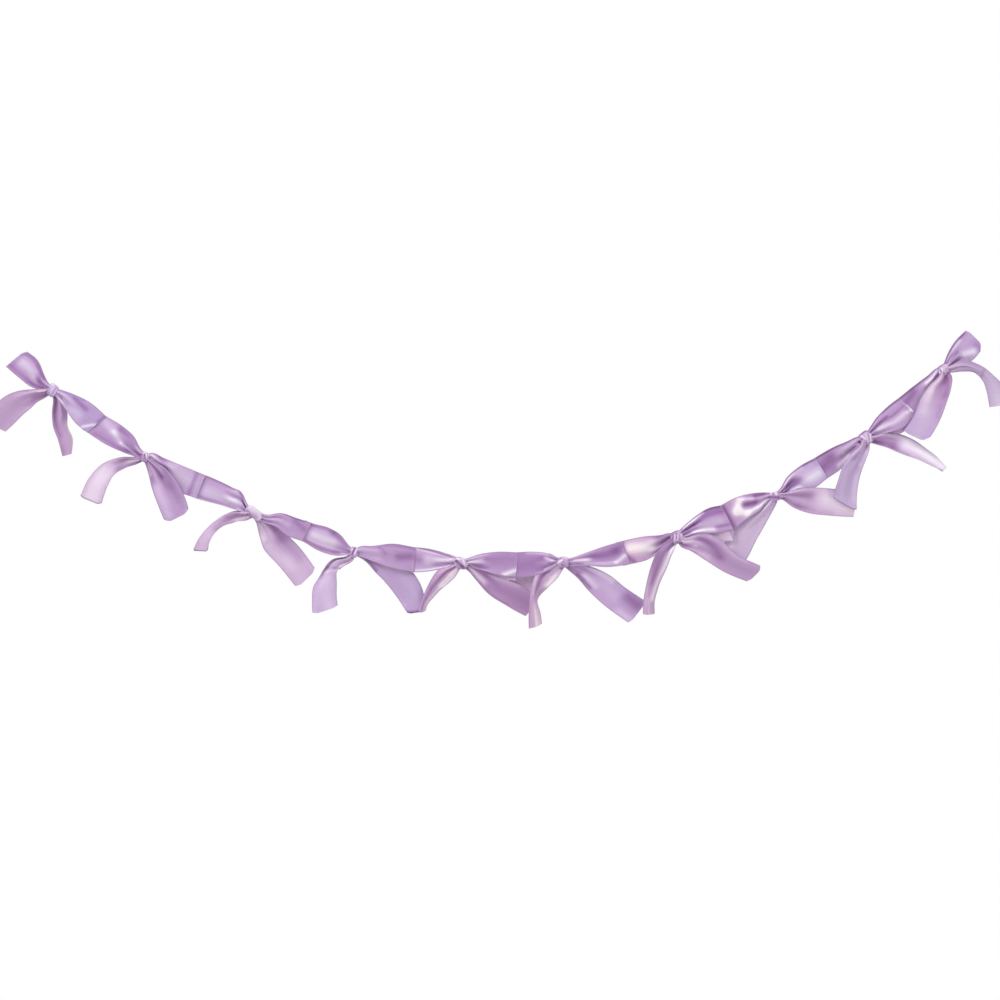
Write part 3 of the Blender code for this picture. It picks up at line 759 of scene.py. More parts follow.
def add_loop(cloth, knot, rows, presses, look, chance, step, reach_behind):
    """Adds a loop to the bow's cloth; tells how much ribbon it took, and where it is stitched."""
    rows = inside_knot(rows)
    if reach_behind:
        rows = drawn_out(rows, reach_behind)
    length = table_length(rows)
    table = smooth_table(rows, int(length / ROW_STEP) + 1)
    right, up, wide, lean, sag, behind = table.T
    share = np.linspace(0, 1, len(table))
    straight = np.hypot(right[-1] - right[0], up[-1] - up[0])
    plane = loop_step(share * straight, straight, step)
    half_gap = KNOT_HALF_GAP + (FOLD_HALF_GAP - KNOT_HALF_GAP) * share + LOOP_PUFF * np.sin(pi * share)
    waves = gather_waves(chance, share[:, None])
    high = look.gathered * gather_height(wide, 0 * wide, share)[:, None]
    fade = np.maximum(0.0, 1 - (share / PLEAT_FADE) ** 2)[:, None]
    relief = soft_curl(wide, 0 * wide, PLEAT_LIMIT) * fade + waves * high
    along, across = np.meshgrid(share * length, ACROSS * RIBBON_WIDTH / 2, indexing="ij")
    height, pressed_tone = pressed(presses, along, across)
    follows = TROUGH_BEHIND * np.minimum(height, 0) + RIDGE_BEHIND * np.maximum(height, 0)
    layers = []
    for side, extra, drop, back in ((1, height, 0 * sag, 0 * behind), (-1, follows, sag, behind)):
        middle = np.stack((knot.x + right, -plane - side * half_gap + back, knot.z + up - drop), axis=1)
        layer = strip_points(middle, wide, lean, 0 * wide, relief + extra)
        layers.append(round_corners(layer, along, look))
    front, back = layers
    turned = len(FOLD_ANGLES)
    grid = np.concatenate([front] + fold_rows(front, back, table[-1, :2] - table[-2, :2]) + [back[::-1]])
    fold_along = np.linspace(FOLD_MARGIN, FOLD_LENGTH - FOLD_MARGIN, turned)[:, None]
    alongs = np.concatenate((along, along[-1:] + fold_along, 2 * length + FOLD_LENGTH - along[::-1]))
    acrosses = np.repeat(across[:1], len(grid), axis=0)
    open_sag = np.clip(sag / SAG_OPEN, 0, 1)[::-1, None]
    # Painted light and shade: the limb's own and its presses' on the front layer, a painted highlight on
    # the gathers' tops, and painted light on a sagging back layer
    tone = look.tone + GATHER_HIGHLIGHT * waves * high / GATHER_LIMIT
    tones = np.concatenate((tone + pressed_tone, np.repeat(tone[-1:], turned, axis=0),
                            (tone + SAG_PAINTED_LIGHT * sag[:, None])[::-1]))
    flat = np.ones_like(tones)
    # A sagging back layer lies in shade, so as it opens it is painted paler, pinker and less dull: painted
    # light
    inner = np.ones_like(tones)
    inner[-len(sag):] -= np.minimum(open_sag, SAG_SHADE_LIFT)
    cool = look.cool_in + (look.cool_out - look.cool_in) * np.clip(alongs / length, 0, 1)
    cool[-len(sag):] -= SAG_THROUGH_LIGHT_TINT * open_sag
    cloth.add_strip(grid, alongs, acrosses, Paint(tones, look.dull * flat, inner, 0 * flat, cool))
    seam = front[-1 - round(STITCH_INSET / ROW_STEP)] + FACING * CLOTH / 2
    return 2 * length + FOLD_LENGTH, seam


belly = KNOT_HALF_GAP + FOLD_HALF_GAP + 2 * LOOP_PUFF + CLOTH
print("thickness of a loop at its belly, mm:", round(belly, 2))

# %% [markdown]
# ## Knots
#
# The knot is the same ribbon, drawn once round the middle of the bow and pulled tight. A ribbon this wide
# can't lie flat there, so it bunches into soft strands that cross the knot at their own slants. The knot is
# modelled as a closed barrel of fine drawn-up folds, and its strands are pressed in like the creases, from
# place to place along and up the knot.

# %% The wrapped knot
KNOT_DEPTH = 9.0         # front to back
KNOT_ROUND = 96          # points round the knot
KNOT_ALONG = 45          # and from end to end
KNOT_TAPER = 0.5         # how much thinner the knot's ends are than its middle
KNOT_SQUARE = 5          # how late it thins: the higher, the squarer its ends
DRAWN_FOLD = 2.3         # from one fine fold to the next
DRAWN_HEIGHT = 0.08      # and their height
DRAWN_SLANT = radians(20)
DRAWN_HIGHLIGHT = 0.02        # painted highlight: how much paler their tops are painted
KNOT_END = 0.125         # share of the knot's length, at each end, over which strands and folds set in


def knot_girth(knot):
    """Ribbon that goes once round the knot."""
    return pi * (knot.height + KNOT_DEPTH) / 2


def add_knot(cloth, knot, look, presses):
    """A barrel round the bow's middle, with its strands pressed in along and up its two faces."""
    place = np.linspace(-0.5, 0.5, KNOT_ALONG)
    angle = np.arange(KNOT_ROUND) * 2 * pi / KNOT_ROUND
    size = (1 - np.abs(2 * place) ** KNOT_SQUARE * KNOT_TAPER)[:, None]
    q, theta = np.meshgrid(place, angle, indexing="ij")
    along, up = q * knot.length, np.sin(theta) * knot.height / 2
    height, tone = pressed(presses, along, up)
    drawn = np.cos(2 * pi * (along * np.cos(DRAWN_SLANT) - up * np.sin(DRAWN_SLANT)) / DRAWN_FOLD)
    height = (height + DRAWN_HEIGHT * drawn) * np.clip((0.5 - np.abs(q)) / KNOT_END, 0, 1)
    radius_up = knot.height / 2 * size + height
    radius_out = KNOT_DEPTH / 2 * size + height
    tilt = radians(knot.tilt)
    way = np.array((np.cos(tilt), 0.0, np.sin(tilt)))
    rise = np.array((-way[2], 0.0, way[0]))
    points = (np.array((knot.x, 0.0, knot.z)) + way * along[..., None]
              + rise * (radius_up * np.sin(theta))[..., None]
              + FACING * (radius_out * np.cos(theta))[..., None])
    index = np.arange(points.size // 3).reshape(KNOT_ALONG, KNOT_ROUND)
    following = np.roll(index, -1, axis=1)
    faces = list(zip(index[:-1].flat, following[:-1].flat, following[1:].flat, index[1:].flat))
    faces += [tuple(index[0][::-1]), tuple(index[-1])]
    # Painted light and shade of the knot, with a painted highlight on the tops of its fine folds
    flat = np.ones_like(tone)
    cloth.add(points, faces, np.stack((along, theta / (2 * pi) * knot_girth(knot)), axis=2),
              tone=look.tone + tone + DRAWN_HIGHLIGHT * drawn, dull=look.dull * flat, cut=0 * flat,
              cool=look.cool_in * flat)


print("ribbon once round each knot, mm:", [round(knot_girth(knot)) for knot in KNOTS])

# %% [markdown]
# ## What makes each bow its own
#
# No two hand-tied bows fold alike. These tables hold, for each limb, its general look and the creases and
# ridges pressed into it. A simulation would give every bow the same kind of folds, so they are listed one
# by one.

# %% General look of every limb
# Its painted light and shade, how much of the dull back shows, whether its end is sealed dark, how far the
# lower and the upper corner of its end are rounded, how strongly it is gathered, and its painted tint of
# the light, bluish (or, below 0, pinkish), at the knot and at its end
Look = namedtuple("Look", "tone dull sealed low_corner high_corner gathered cool_in cool_out",
                  defaults=(0, 0, 1.0, 0.0, 0.0))
LEFT_LOOP_LOOKS = entries(Look,
    (0.46, 0.1, 0, 0, 3, 0.7, 0, 0.2), (0.45, 0.1, 0, 0, 0, 0.8, 0, 0.2),
    (0.52, 0.2, 0, 0, 0, 1, 0, 0.3), (0.50, 0.2, 0, 0, 0, 0.8, 0.1, 0.1), (0.54, 0.1, 0, 0, 0, 0.8),
    (0.38, 0.1, 0, 0, 0, 0.8), (0.48, 0.1, 0, 0, 0, 1, 0, -0.9), (0.50, 0, 0, 0, 0, 1, 0, -0.5),
    (0.46, 0.1, 0, 0, 0, 0.6, 0, 0), (0.50, 0.1, 0, 0, 0, 0.5, 0, 0))
RIGHT_LOOP_LOOKS = entries(Look,
    (0.49, 0.1, 0, 0, 0, 0.8, 0.3, 0.6), (0.52, 0.2, 0, 0, 0, 1, 0, 0.3), (0.44, 0.1, 0, 0, 0, 0.7),
    (0.47, 0.1, 0, 0, 0, 0.6), (0.46, 0, 0), (0.46, 0, 0, 0, 0, 0.6), (0.48, 0, 0),
    (0.50, 0, 0, 0, 0, 1, 0, 0.3), (0.47, 0, 0, 0, 0, 0.8), (0.50, 0, 0, 6, 2, 1, 0, 0.3))
LEFT_TAIL_LOOKS = entries(Look,
    (0.44, 0.7, 0, 0, 0, 0.5, -0.2, 0), (0.48, 1.0, 1, 3, 1, 0.8, 0.3, 0.1),
    (0.49, 0.8, 1, 3, 1, 1, 0, 0), (0.52, 0.6, 0, 2, 2, 1, 0, 0.4),
    (0.50, 0.3, 0, 3, 3, 1, -0.6, -0.3), (0.50, 0.4, 0, 2, 0, 1, 0, -0.8),
    (0.48, 0.3, 0, 1, 1, 1, 0, -0.6), (0.62, 0.5, 0, 2, 1, 0.4, 0.1, 0.2),
    (0.54, 0.7, 1, 2, 1, 0.6, 0.5, 0.7), (0.50, 0.3, 0, 6, 2, 0.7, -0.6, 0.6))
RIGHT_TAIL_LOOKS = entries(Look,
    (0.44, 0.6, 0, 2, 12, 0.8, 0, -0.3), (0.45, 0.5, 0, 4, 4, 0.9, 0.1, 0.3),
    (0.52, 0.6, 0, 3, 3, 1, 0, 0), (0.51, 0.4, 1, 2, 2, 0.6, 0.2, 0.6),
    (0.43, 0.4, 0, 2, 2, 0.8, -0.2, -0.3), (0.47, 0.4, 0, 2, 3, 0.8, 0.1, 0.3),
    (0.44, 0.6, 0, 3, 3, 1, 0, -0.1), (0.52, 0.6, 0, 1, 2, 1, 0, -0.25),
    (0.60, 0.5, 0, 1, 14, 0.7, 0, 0.2), (0.52, 0.7, 0, 0, 0, 1, 0, 0.6))
print("paler and deeper loops:", [look.tone for look in LEFT_LOOP_LOOKS + RIGHT_LOOP_LOOKS])

# %% Presses of the left loops
# From a place along and across the flat ribbon to another, how soft, how high (negative for a trough), and
# how much paler or deeper it is painted: painted highlight and painted shade. The upper edge of the
# right-hand bows gets painted shade.
UPPER_EDGE_SHADE = (2, 13.2, 50, 13.2, 1.3, 0, -0.55)
LEFT_LOOP_PRESSES = limbs(Press,
    ((22, 1, 38, 1, 5.5, 0.3, 0.26), (12, 11, 42, 12, 3, -0.3, -0.24),
     (16, -9, 46, -11, 3.5, -0.1, -0.16), (9, -4, 16, 6, 4, -0.3, -0.22),
     (44, -8, 46, 10, 3, 0, -0.12)),
    ((54, 8, 38, 3, 5, 0.25, 0.2), (38, 3, 26, -3, 3.5, 0.3, 0.3), (26, -4, 8, -7, 1.2, 0.4, 0.24),
     (34, 10, 14, 6, 3.5, -0.5, -0.24), (56, -3, 57, 10, 2.5, -0.2, -0.15),
     (50, -11, 16, -10, 3, -0.5, -0.14), (16, -9, 6, -4, 4, -0.5, -0.22)),
    ((22, -2, 50, -3, 6, 0.3, 0.16), (24, 13, 55, 13.4, 1.4, 0, -0.28), (17, -6, 25, -3, 4, 0.2, 0.14),
     (16, 13, 9, 2, 2.5, -1.0, -0.32), (9, 2, 4, -6, 2.5, -0.6, -0.25),
     (20, -12, 55, -11.5, 1.6, -0.5, -0.22), (30, 11, 55, 10, 4, -0.2, -0.07),
     (56, -10, 57, 10, 2.5, -0.2, -0.14)),
    ((22, 1, 42, 0, 6, 0.4, 0.3), (46, -8, 12, -5.5, 0.9, 0.3, 0.12),
     (46, -11.5, 14, -10, 2.2, -0.4, -0.26), (24, 9, 8, 6, 4, -0.4, -0.22),
     (50, 11.5, 22, 12.5, 2.2, -0.1, -0.22), (18, -9, 6, -8, 3, -0.3, -0.16),
     (50, -11, 50, 11, 3.5, 0, -0.16)),
    ((12, 1, 32, 1, 5.5, 0.5, 0.2), (44, -12.3, 10, -11.5, 1.2, 0.5, 0.34),
     (42, 11.5, 12, 7, 1.2, 0.5, 0.3), (40, 13, 10, 10.5, 1.8, -0.4, -0.3),
     (46, 2, 40, 0, 5, -0.2, -0.2), (3, 7, 9, 4, 2, 0.6, 0.3), (24, -6, 12, -5, 2.5, -0.3, -0.12)),
    ((9, 3, 15, 6, 2.5, 0.8, 0.5), (3, 0, 12, -2, 1, -0.5, -0.3), (20, 0, 44, 0, 10, -0.2, -0.08),
     (14, 12, 34, 12.8, 2, 0.1, 0.22), (3, -6, 14, -9, 1.2, 0.4, 0.3)),
    ((26, 0, 46, 4, 8, 0.4, 0.52), (18, 8, 6, 5, 4.5, -0.6, -0.32), (20, -3, 10, -3, 4, -0.3, -0.16),
     (52, -4, 47, -12, 3, -0.5, -0.28), (54, 2, 52, 12, 2, -0.3, -0.15)),
    ((20, 1, 30, 2, 3.5, -1.6, -0.42), (10, 9, 18, 9, 2.8, -1.0, -0.34),
     (34, 9, 40, 0, 4.5, 0.8, 0.48), (40, 0, 32, -8, 4.5, 0.8, 0.45), (30, -9, 10, -6, 3.5, 0.7, 0.35),
     (22, 6.5, 30, 9, 2, 0.6, 0.25), (50, -13, 51, 11, 2.8, -0.3, -0.36)),
    ((48, 0, 40, 4, 7, -0.5, -0.28), (34, -9, 22, -9, 3.5, 0.6, 0.32), (30, 5, 12, 6, 4, 0.1, 0.12),
     (24, -2, 12, -3, 3, 0.4, 0.2), (9, -3, 6, -8, 2, 0.9, 0.4), (6, 1, 4, -3, 1.6, -0.8, -0.35),
     UPPER_EDGE_SHADE),
    ((3, -3, 12, -2, 2.5, -0.3, -0.12), (8, 6, 22, 7, 2, 0.5, 0.36), (4, 0, 16, -3, 1.2, 0.4, 0.3),
     (18, 0, 30, -2, 5, 0.3, 0.24), (38, 8, 48, 4, 5, -0.6, -0.26), UPPER_EDGE_SHADE))
print("presses of the left loops:", [len(rows) for rows in LEFT_LOOP_PRESSES])

# %% Presses of the right loops
RIGHT_LOOP_PRESSES = limbs(Press,
    ((8, -6, 34, -5, 6, 0.6, 0.16), (22, 7, 36, 5, 3, -0.6, -0.22), (46, -12, 53, -2, 1.8, 0.2, 0.4),
     (53, 3, 53.5, 12, 1.6, -0.2, -0.2), (3, -10, 14, -12, 1.8, 0.6, 0.3),
     (6, 12, 30, 13, 3, -0.3, -0.12)),
    ((3, 0, 8, 4, 3.5, 0.5, 0.28), (9, -5, 16, -8, 2.5, 0.7, 0.25), (14, 12, 24, 0, 4.5, -0.8, -0.24),
     (24, 0, 34, -12, 4.5, -0.5, -0.16), (30, 5, 52, 2, 8, 0.3, 0.12),
     (54.5, -12, 54.5, 12, 2.2, -0.1, -0.24)),
    ((4, 0, 12, 2, 4, 0.3, 0.1), (18, -1, 32, 0, 4.5, 0.5, 0.16), (38, 9, 50, 2, 3.5, -0.3, -0.14),
     (16, 13, 46, 13, 0.9, -0.1, -0.4), (42, -8, 50, -8, 4, 0.2, 0.05)),
    ((6, -2, 22, -4, 5, 0.3, 0.2), (24, 10, 30, 2, 2.5, -0.3, -0.12), (44, 0, 57, 3, 4.5, -0.2, -0.24),
     (30, 12.5, 60, 12.5, 2, -0.1, -0.16)),
    ((6, 0, 18, 3, 3.5, 0.6, 0.36), (42, -12.5, 54, -6, 2.8, 0.3, 0.46),
     (24, 4, 50, 5, 7, -0.2, -0.1)),
    ((10, 2, 22, -2, 4, 0.8, 0.4), (20, -9, 48, -9, 2.2, 0.5, 0.22), (28, 3, 52, 3, 5.5, -0.7, -0.24),
     (50, 6, 59, 9, 4.5, -0.2, -0.16), (50, -9, 59, -3, 2.6, 0.2, 0.42)),
    ((8, 10.5, 30, 12, 1.6, 0.7, 0.5), (10, 2, 24, 4, 3, -0.9, -0.28),
     (16, -9, 36, -10, 2.8, 0.8, 0.42), (30, 8, 50, 8, 4.5, -0.6, -0.24),
     (26, -2, 44, -2, 5, 0.3, 0.15), (38, -8, 52, -8, 1.5, -0.4, -0.22), UPPER_EDGE_SHADE),
    ((14, 1, 26, 0, 4.5, -1.4, -0.4), (12, 11, 34, 12, 2, 0.6, 0.28), (30, -2, 46, -3, 7, 0.7, 0.36),
     (28, 7, 44, 10, 3.5, 0, 0.08), (14, -8, 22, -10, 2.5, 0.5, 0.25), UPPER_EDGE_SHADE),
    ((6, 3, 26, 5, 2.5, -0.7, -0.24), (30, 3, 47, 3, 1.4, -0.4, -0.2),
     (14, -4, 42, -4, 3.5, 0.6, 0.36), (46, -5, 50, -7, 2, 0.6, 0.3), (51, 1, 51, -10, 1.2, 0.5, 0.45),
     (24, 11, 44, 11, 3, 0.2, 0.08), UPPER_EDGE_SHADE),
    ((8, 10, 30, 11, 1.8, 0.6, 0.32), (10, 2, 20, 4, 2, -0.8, -0.22), (24, -3, 33, -8, 4, 0.5, 0.4),
     (30, 4, 40, 5, 6, 0.2, 0.06), (38, -6, 42, -12, 3, -0.3, -0.14),
     (2, 13.2, 40, 13.2, 1.3, 0, -0.55)))
print("presses of the right loops:", [len(rows) for rows in RIGHT_LOOP_PRESSES])

# %% Presses of the left tails
LEFT_TAIL_PRESSES = limbs(Press,
    ((5, 5, 11, 7, 1.6, 0.8, 0.35), (4, 0, 16, -2, 5, -0.5, -0.18), (20, 12, 35, 12, 3, -0.4, -0.1)),
    ((6, 0, 13, 0, 5, 0.6, 0.2), (14, 6, 28, -6, 5.5, -0.4, -0.26), (45, 0, 73, 0, 12, 0, 0.26)),
    ((4, -8, 16, -10, 3, 0.6, 0.3), (14, 4, 24, 4, 3, -0.4, -0.1), (24, -6, 40, -4, 4.5, -0.8, -0.2),
     (50, 0, 68, 0, 9, 0.2, 0.1)),
    ((5, -6, 20, -9, 3, 0.8, 0.3), (10, 8, 30, 11, 4, -0.7, -0.24),
     (27, 13, 25, -13, 1.8, -0.6, -0.15), (31, 6, 30, -12, 2, 0.5, 0.12),
     (40, 0, 70, -5, 8, 0.2, 0.12)),
    ((3, -5, 14, -8, 3, 0.3, 0.4), (8, -8, 27, -10, 4, 0.8, 0.62), (28, -10, 60, -12, 3, 0.4, 0.32),
     (10, 5, 58, 6, 5, -0.8, -0.24)),
    ((7, -8, 27, -10, 5, 0.7, 0.6), (14, 5, 40, 2, 3, -0.7, -0.28), (12, 11, 40, 9, 1, 0.4, 0.2),
     (34, 8, 44, 6, 4, 0, -0.06), (54, -2, 74, -4, 9, 0.2, 0.46), (50, 12, 70, 13, 2.5, -0.3, -0.1)),
    ((6, 3, 60, 3, 5.5, -0.8, -0.3), (10, -9, 66, -9, 3.5, 0.8, 0.36), (60, 2, 82, 0, 8, 0.2, 0.34)),
    ((12, 0, 60, 0, 9, 0.2, 0.06), (56, 9, 74, 4, 4, 0.3, 0.16), (6, 8, 30, 12, 2.5, 0.4, 0.15)),
    ((6, 2, 20, 3, 4, -0.6, -0.2), (10, -8, 26, -9, 2.5, 0.4, 0.14), (30, 10, 60, 11, 3, -0.2, -0.08),
     (40, -10, 60, -11, 3, 0, 0.08)),
    ((1, -2, 10, -5, 5, -0.1, -0.4), (18, -8, 24, -9, 6, 0, -0.2), (36, -10, 46, -11, 4, -0.2, -0.1),
     (10, 6, 32, 6, 5, 0.1, 0.14), (24, 6, 44, 7, 5, 0.4, 0.14), (48, 2, 72, 0, 10, 0.2, 0.14)))
print("presses of the left tails:", [len(rows) for rows in LEFT_TAIL_PRESSES])

# %% Presses of the right tails
RIGHT_TAIL_PRESSES = limbs(Press,
    ((10, -4, 45, -4, 3.5, -0.8, -0.16), (34, 11, 58, 12, 5, 0.4, 0.35)),
    ((10, 6, 34, 6, 7, 0, -0.1), (4, -9, 18, -12, 2.5, 0.6, 0.25), (6, 2, 24, 2, 3.2, -0.8, -0.22),
     (24, 4, 60, 9, 6, -0.3, -0.14), (34, -8, 62, -8, 5, 0.4, 0.14)),
    ((6, -8, 24, -9, 3.5, 0.7, 0.25), (24, -8, 60, -6, 6, 0.3, 0.1), (10, 5, 34, 7, 5.5, -0.3, -0.18),
     (34, 7, 60, 6, 6, -0.2, -0.14), (56, 0, 80, -3, 9, 0, 0.1)),
    ((14, 2, 34, 4, 6, 0.6, 0.26), (16, -10, 32, -12, 2.2, -0.8, -0.28), (45, 5, 75, 3, 7, 0, 0.06),
     (10, 8, 48, 13, 4.5, 0, 0.24), (91, -12, 92, 8, 2, 0, -0.5)),
    ((10, -6, 26, -7, 4.5, 0.5, 0.4), (22, 11, 56, 13, 3.5, 0, 0.14), (30, 0, 76, 0, 10, -0.2, -0.12),
     (26, -13, 60, -13, 2, -0.4, -0.12), (8, 6, 24, 8, 4, -0.5, -0.14)),
    ((6, -3, 18, -4, 4.5, -0.6, -0.2), (18, -10, 38, -10, 1.8, -0.8, -0.2),
     (24, -5, 40, -6, 3, 0.5, 0.18), (24, 10, 46, 11, 4, 0.3, 0.2), (34, 2, 60, 0, 8, 0.2, 0.1),
     (70, 7, 84, 6, 6, -0.5, -0.26), (74, -10, 86, -11, 4, 0, 0.16)),
    ((3, 3, 13, 3, 3.5, 0.5, 0.38), (6, -3, 20, -5, 2.2, 0.7, 0.3), (8, -12, 24, -13, 2, -0.5, -0.2),
     (20, 8, 46, -1, 5.5, -0.8, -0.26), (20, -4, 36, -9, 4, 0.4, 0.12), (50, 4, 84, 2, 9, 0, -0.04),
     (46, 12, 70, 12, 2.5, 0.2, 0.08)),
    ((8, 2, 30, 4, 6, -0.7, -0.26), (20, -10, 55, -12, 3, -0.4, -0.1), (48, 2, 78, -4, 12, 0.2, 0.3)),
    ((4, -2, 26, -4, 7, -0.3, -0.4), (26, -10, 44, -12, 3.5, -0.2, -0.2),
     (6, 12, 60, 13, 1.6, 0, -0.24), (40, 3, 80, 0, 8, 0.2, 0.34)),
    ((4, -3, 12, -4, 3, 0.6, 0.24), (14, -4, 26, -4, 5, -0.3, -0.14), (24, 0, 38, 4, 3.5, 0, -0.16),
     (37, 12, 40, -12, 1.2, -0.6, -0.14), (44, 0, 77, 0, 9, 0.2, 0.24)))
print("presses of the right tails:", [len(rows) for rows in RIGHT_TAIL_PRESSES])

# %% Looks and strands of the knots
# Here a press runs along the knot and up it, from the knot's middle, and paints light and shade as on the
# loops
KNOT_LOOKS = entries(Look,
    (0.53, 0.2, 0, 0, 0, 1, 0.4), (0.44, 0.2, 0), (0.60, 0.5, 0), (0.52, 0.2, 0), (0.54, 0.2, 0),
    (0.52, 0.3, 0), (0.52, 0.4, 0), (0.52, 0.1, 0), (0.54, 0.2, 0), (0.56, 0.4, 0))
KNOT_PRESSES = limbs(Press,
    ((-4.8, 2, -3.6, -5, 1, -0.5, -0.4), (4.8, -4, 4.6, 4, 0.7, 0.4, 0.3),
     (-0.5, 5, 2, -4, 1.4, 0.3, 0.12), (-4.5, 3, -2, 5.6, 1, 0.3, 0.25),
     (2.6, 4, 3.2, -3, 0.5, -0.3, -0.16), (-3, -5.5, 3, -6, 1.5, -0.2, -0.15)),
    ((-6, 3, -2.5, 3.5, 0.9, 0.4, 0.45), (-4.6, -3.3, -4.2, 0, 1.2, -0.3, -0.3),
     (-1.6, 2.5, 2.3, -1.8, 0.6, -0.5, -0.4), (-0.5, 4, 2.6, -0.4, 1, 0.5, 0.38),
     (3.8, 3.5, 3.4, -3, 0.7, 0.3, 0.2)),
    ((-6, -2.5, 3, -5, 1.3, -0.4, -0.34), (1.8, -0.7, 3, -2, 2.5, 0, -0.12),
     (-8, 3.5, 7, 4.5, 2.2, 0.3, 0.2), (-7, 0, 6, 1, 1, 0.25, 0.12), (7.5, -3, 8, 2, 0.8, 0.3, 0.25)),
    ((-1.2, -2.5, 0.5, 5, 0.8, -0.6, -0.5), (1, -1.5, 3, 5.5, 0.8, 0.5, 0.42),
     (2.4, 0, 3.8, 5, 0.5, -0.3, -0.2), (-4, 2, -2.5, 2.5, 1.2, 0.3, 0.3),
     (3.5, -3, 4, 0, 1.2, 0.2, 0.15)),
    ((-7, 0.6, -5, 0.2, 1.2, -0.3, -0.4), (-5, 0.2, 2.4, -2.6, 1.7, -0.5, -0.42),
     (2.4, -2.6, 5, -3.7, 1.4, -0.3, -0.35), (0, 5, 4, 0.3, 1.6, 0.4, 0.26),
     (6.5, 1, 6.6, 5.5, 0.9, 0.4, 0.3), (-6, 3, -3, 3, 1.2, 0.4, 0.4),
     (4.2, 4.5, 5.4, 0, 0.5, -0.25, -0.18)),
    ((-6, -1, -0.8, 2.5, 1.1, 0.5, 0.42), (-5.7, 3.4, -1.7, 3.6, 0.8, -0.4, -0.3),
     (0.7, 3, 0.7, -0.3, 0.6, -0.3, -0.2), (-1, -2.5, 1.5, -4.3, 1.4, -0.3, -0.26),
     (1.5, 4.6, 6, 4.2, 0.9, 0.2, 0.25), (-6, 5, -4, 5, 1, 0.3, 0.3)),
    ((-5.8, -1, -3, 4, 0.8, -0.45, -0.38), (-3.6, -2, -1, 2.5, 0.8, 0.4, 0.28),
     (-1.2, -0.8, 0.9, 3.8, 0.7, -0.4, -0.33), (-0.8, -3, 1.2, 1.5, 0.8, 0.4, 0.28),
     (1.2, -3.4, 3, 1, 0.7, -0.3, -0.2), (-2.6, -5, -1, -5.4, 1.4, -0.3, -0.28),
     (3, -1, 6, 0.5, 1.5, 0.3, 0.2), (-4, 5.5, 2, 5.8, 1, 0, -0.3)),
    ((-6, 3, -4.5, 4.2, 1.2, 0.4, 0.38), (-5.5, 0.2, 2.5, -2, 1.4, -0.5, -0.4),
     (-2.5, 4.5, -2.8, 2, 0.6, -0.4, -0.38), (0, 4.2, 0.5, 1.5, 1, 0.4, 0.36),
     (6, 3.5, 6, -1.5, 0.8, 0.4, 0.3), (3, 3, 3.4, 0, 0.8, -0.2, -0.15)),
    ((-4.8, 2.6, -4.4, 2.2, 1, -0.5, -0.5), (-5.5, -3.2, -4, -4, 2, -0.3, -0.3),
     (1.8, 3, -0.6, -4.5, 0.9, 0.4, 0.26), (5.5, 1.2, 1.5, -5.5, 0.8, 0.4, 0.34),
     (3.6, 2.5, 0.5, -5, 0.6, -0.3, -0.2), (-6, 6.3, 6, 6.3, 0.9, 0, -0.45),
     (-3, 5, -1.5, 0, 1, 0.4, 0.3)),
    ((-4.3, 3.3, -3.9, 0.7, 0.8, -0.35, -0.3), (-1.7, 2.5, -2.2, -1, 0.9, 0.4, 0.34),
     (-5.3, 1.6, -6, -1, 1, 0.4, 0.3), (1, -5.5, 3, -5.5, 1.8, -0.4, -0.4),
     (5.3, -4.5, 5.3, -2, 1, -0.2, -0.2), (0, 1, 4, 2, 2, 0.1, 0.1), (-6, 5.4, 2, 5.6, 0.8, 0, -0.35)))
print("strands of the knots:", [len(rows) for rows in KNOT_PRESSES])

# %% [markdown]
# ## Tying the bows
#
# Now each bow is put together from its two loops, its two tails and its knot, as one piece of cloth. Each
# has chance of its own for its gathers, with a fixed seed, so the same garland comes out every time. The
# right loop of a bow comes forward over the left loop of the next one, which steps back and reaches
# behind it. The ribbon that a bow takes is added up on the way, because a maker has to know how long to
# cut it.

# %% Ten bows
LAP = 6.0                # how far a left loop reaches behind its neighbour's right loop
SEED = 100               # to which each bow adds its number


def tie_bow(number):
    """Makes one bow, and tells how much ribbon it took and where its right loop is sewn."""
    i = number - 1
    knot = KNOTS[i]
    chance = np.random.default_rng(SEED + number)
    cloth = Cloth()
    left_step, left_lap = (0.0, 0.0) if number == 1 else (-LAP_STEP, LAP)
    right_step = 0.0 if number == len(KNOTS) else LAP_STEP
    left, _ = add_loop(cloth, knot, LEFT_LOOPS[i], LEFT_LOOP_PRESSES[i], LEFT_LOOP_LOOKS[i], chance,
                       left_step, left_lap)
    right, seam = add_loop(cloth, knot, RIGHT_LOOPS[i], RIGHT_LOOP_PRESSES[i], RIGHT_LOOP_LOOKS[i], chance,
                           right_step, 0.0)
    used = knot_girth(knot) + left + right
    used += add_tail(cloth, knot, LEFT_TAILS[i], LEFT_TAIL_PRESSES[i], LEFT_TAIL_LOOKS[i], chance)
    used += add_tail(cloth, knot, RIGHT_TAILS[i], RIGHT_TAIL_PRESSES[i], RIGHT_TAIL_LOOKS[i], chance)
    add_knot(cloth, knot, KNOT_LOOKS[i], KNOT_PRESSES[i])
    bow = cloth.make(f"ribbon_bow_{number}")
    bow.data.materials.append(satin)
    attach(bow, "root")
    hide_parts(f"bow_{number}")
    used * MM
    return bow, used, seam


seams = []
for number in range(1, len(KNOTS) + 1):
    bow, used, seam = tie_bow(number)
    seams.append(seam)
    print(bow.name, "ribbon used, mm:", round(used), "faces:", len(bow.data.polygons))

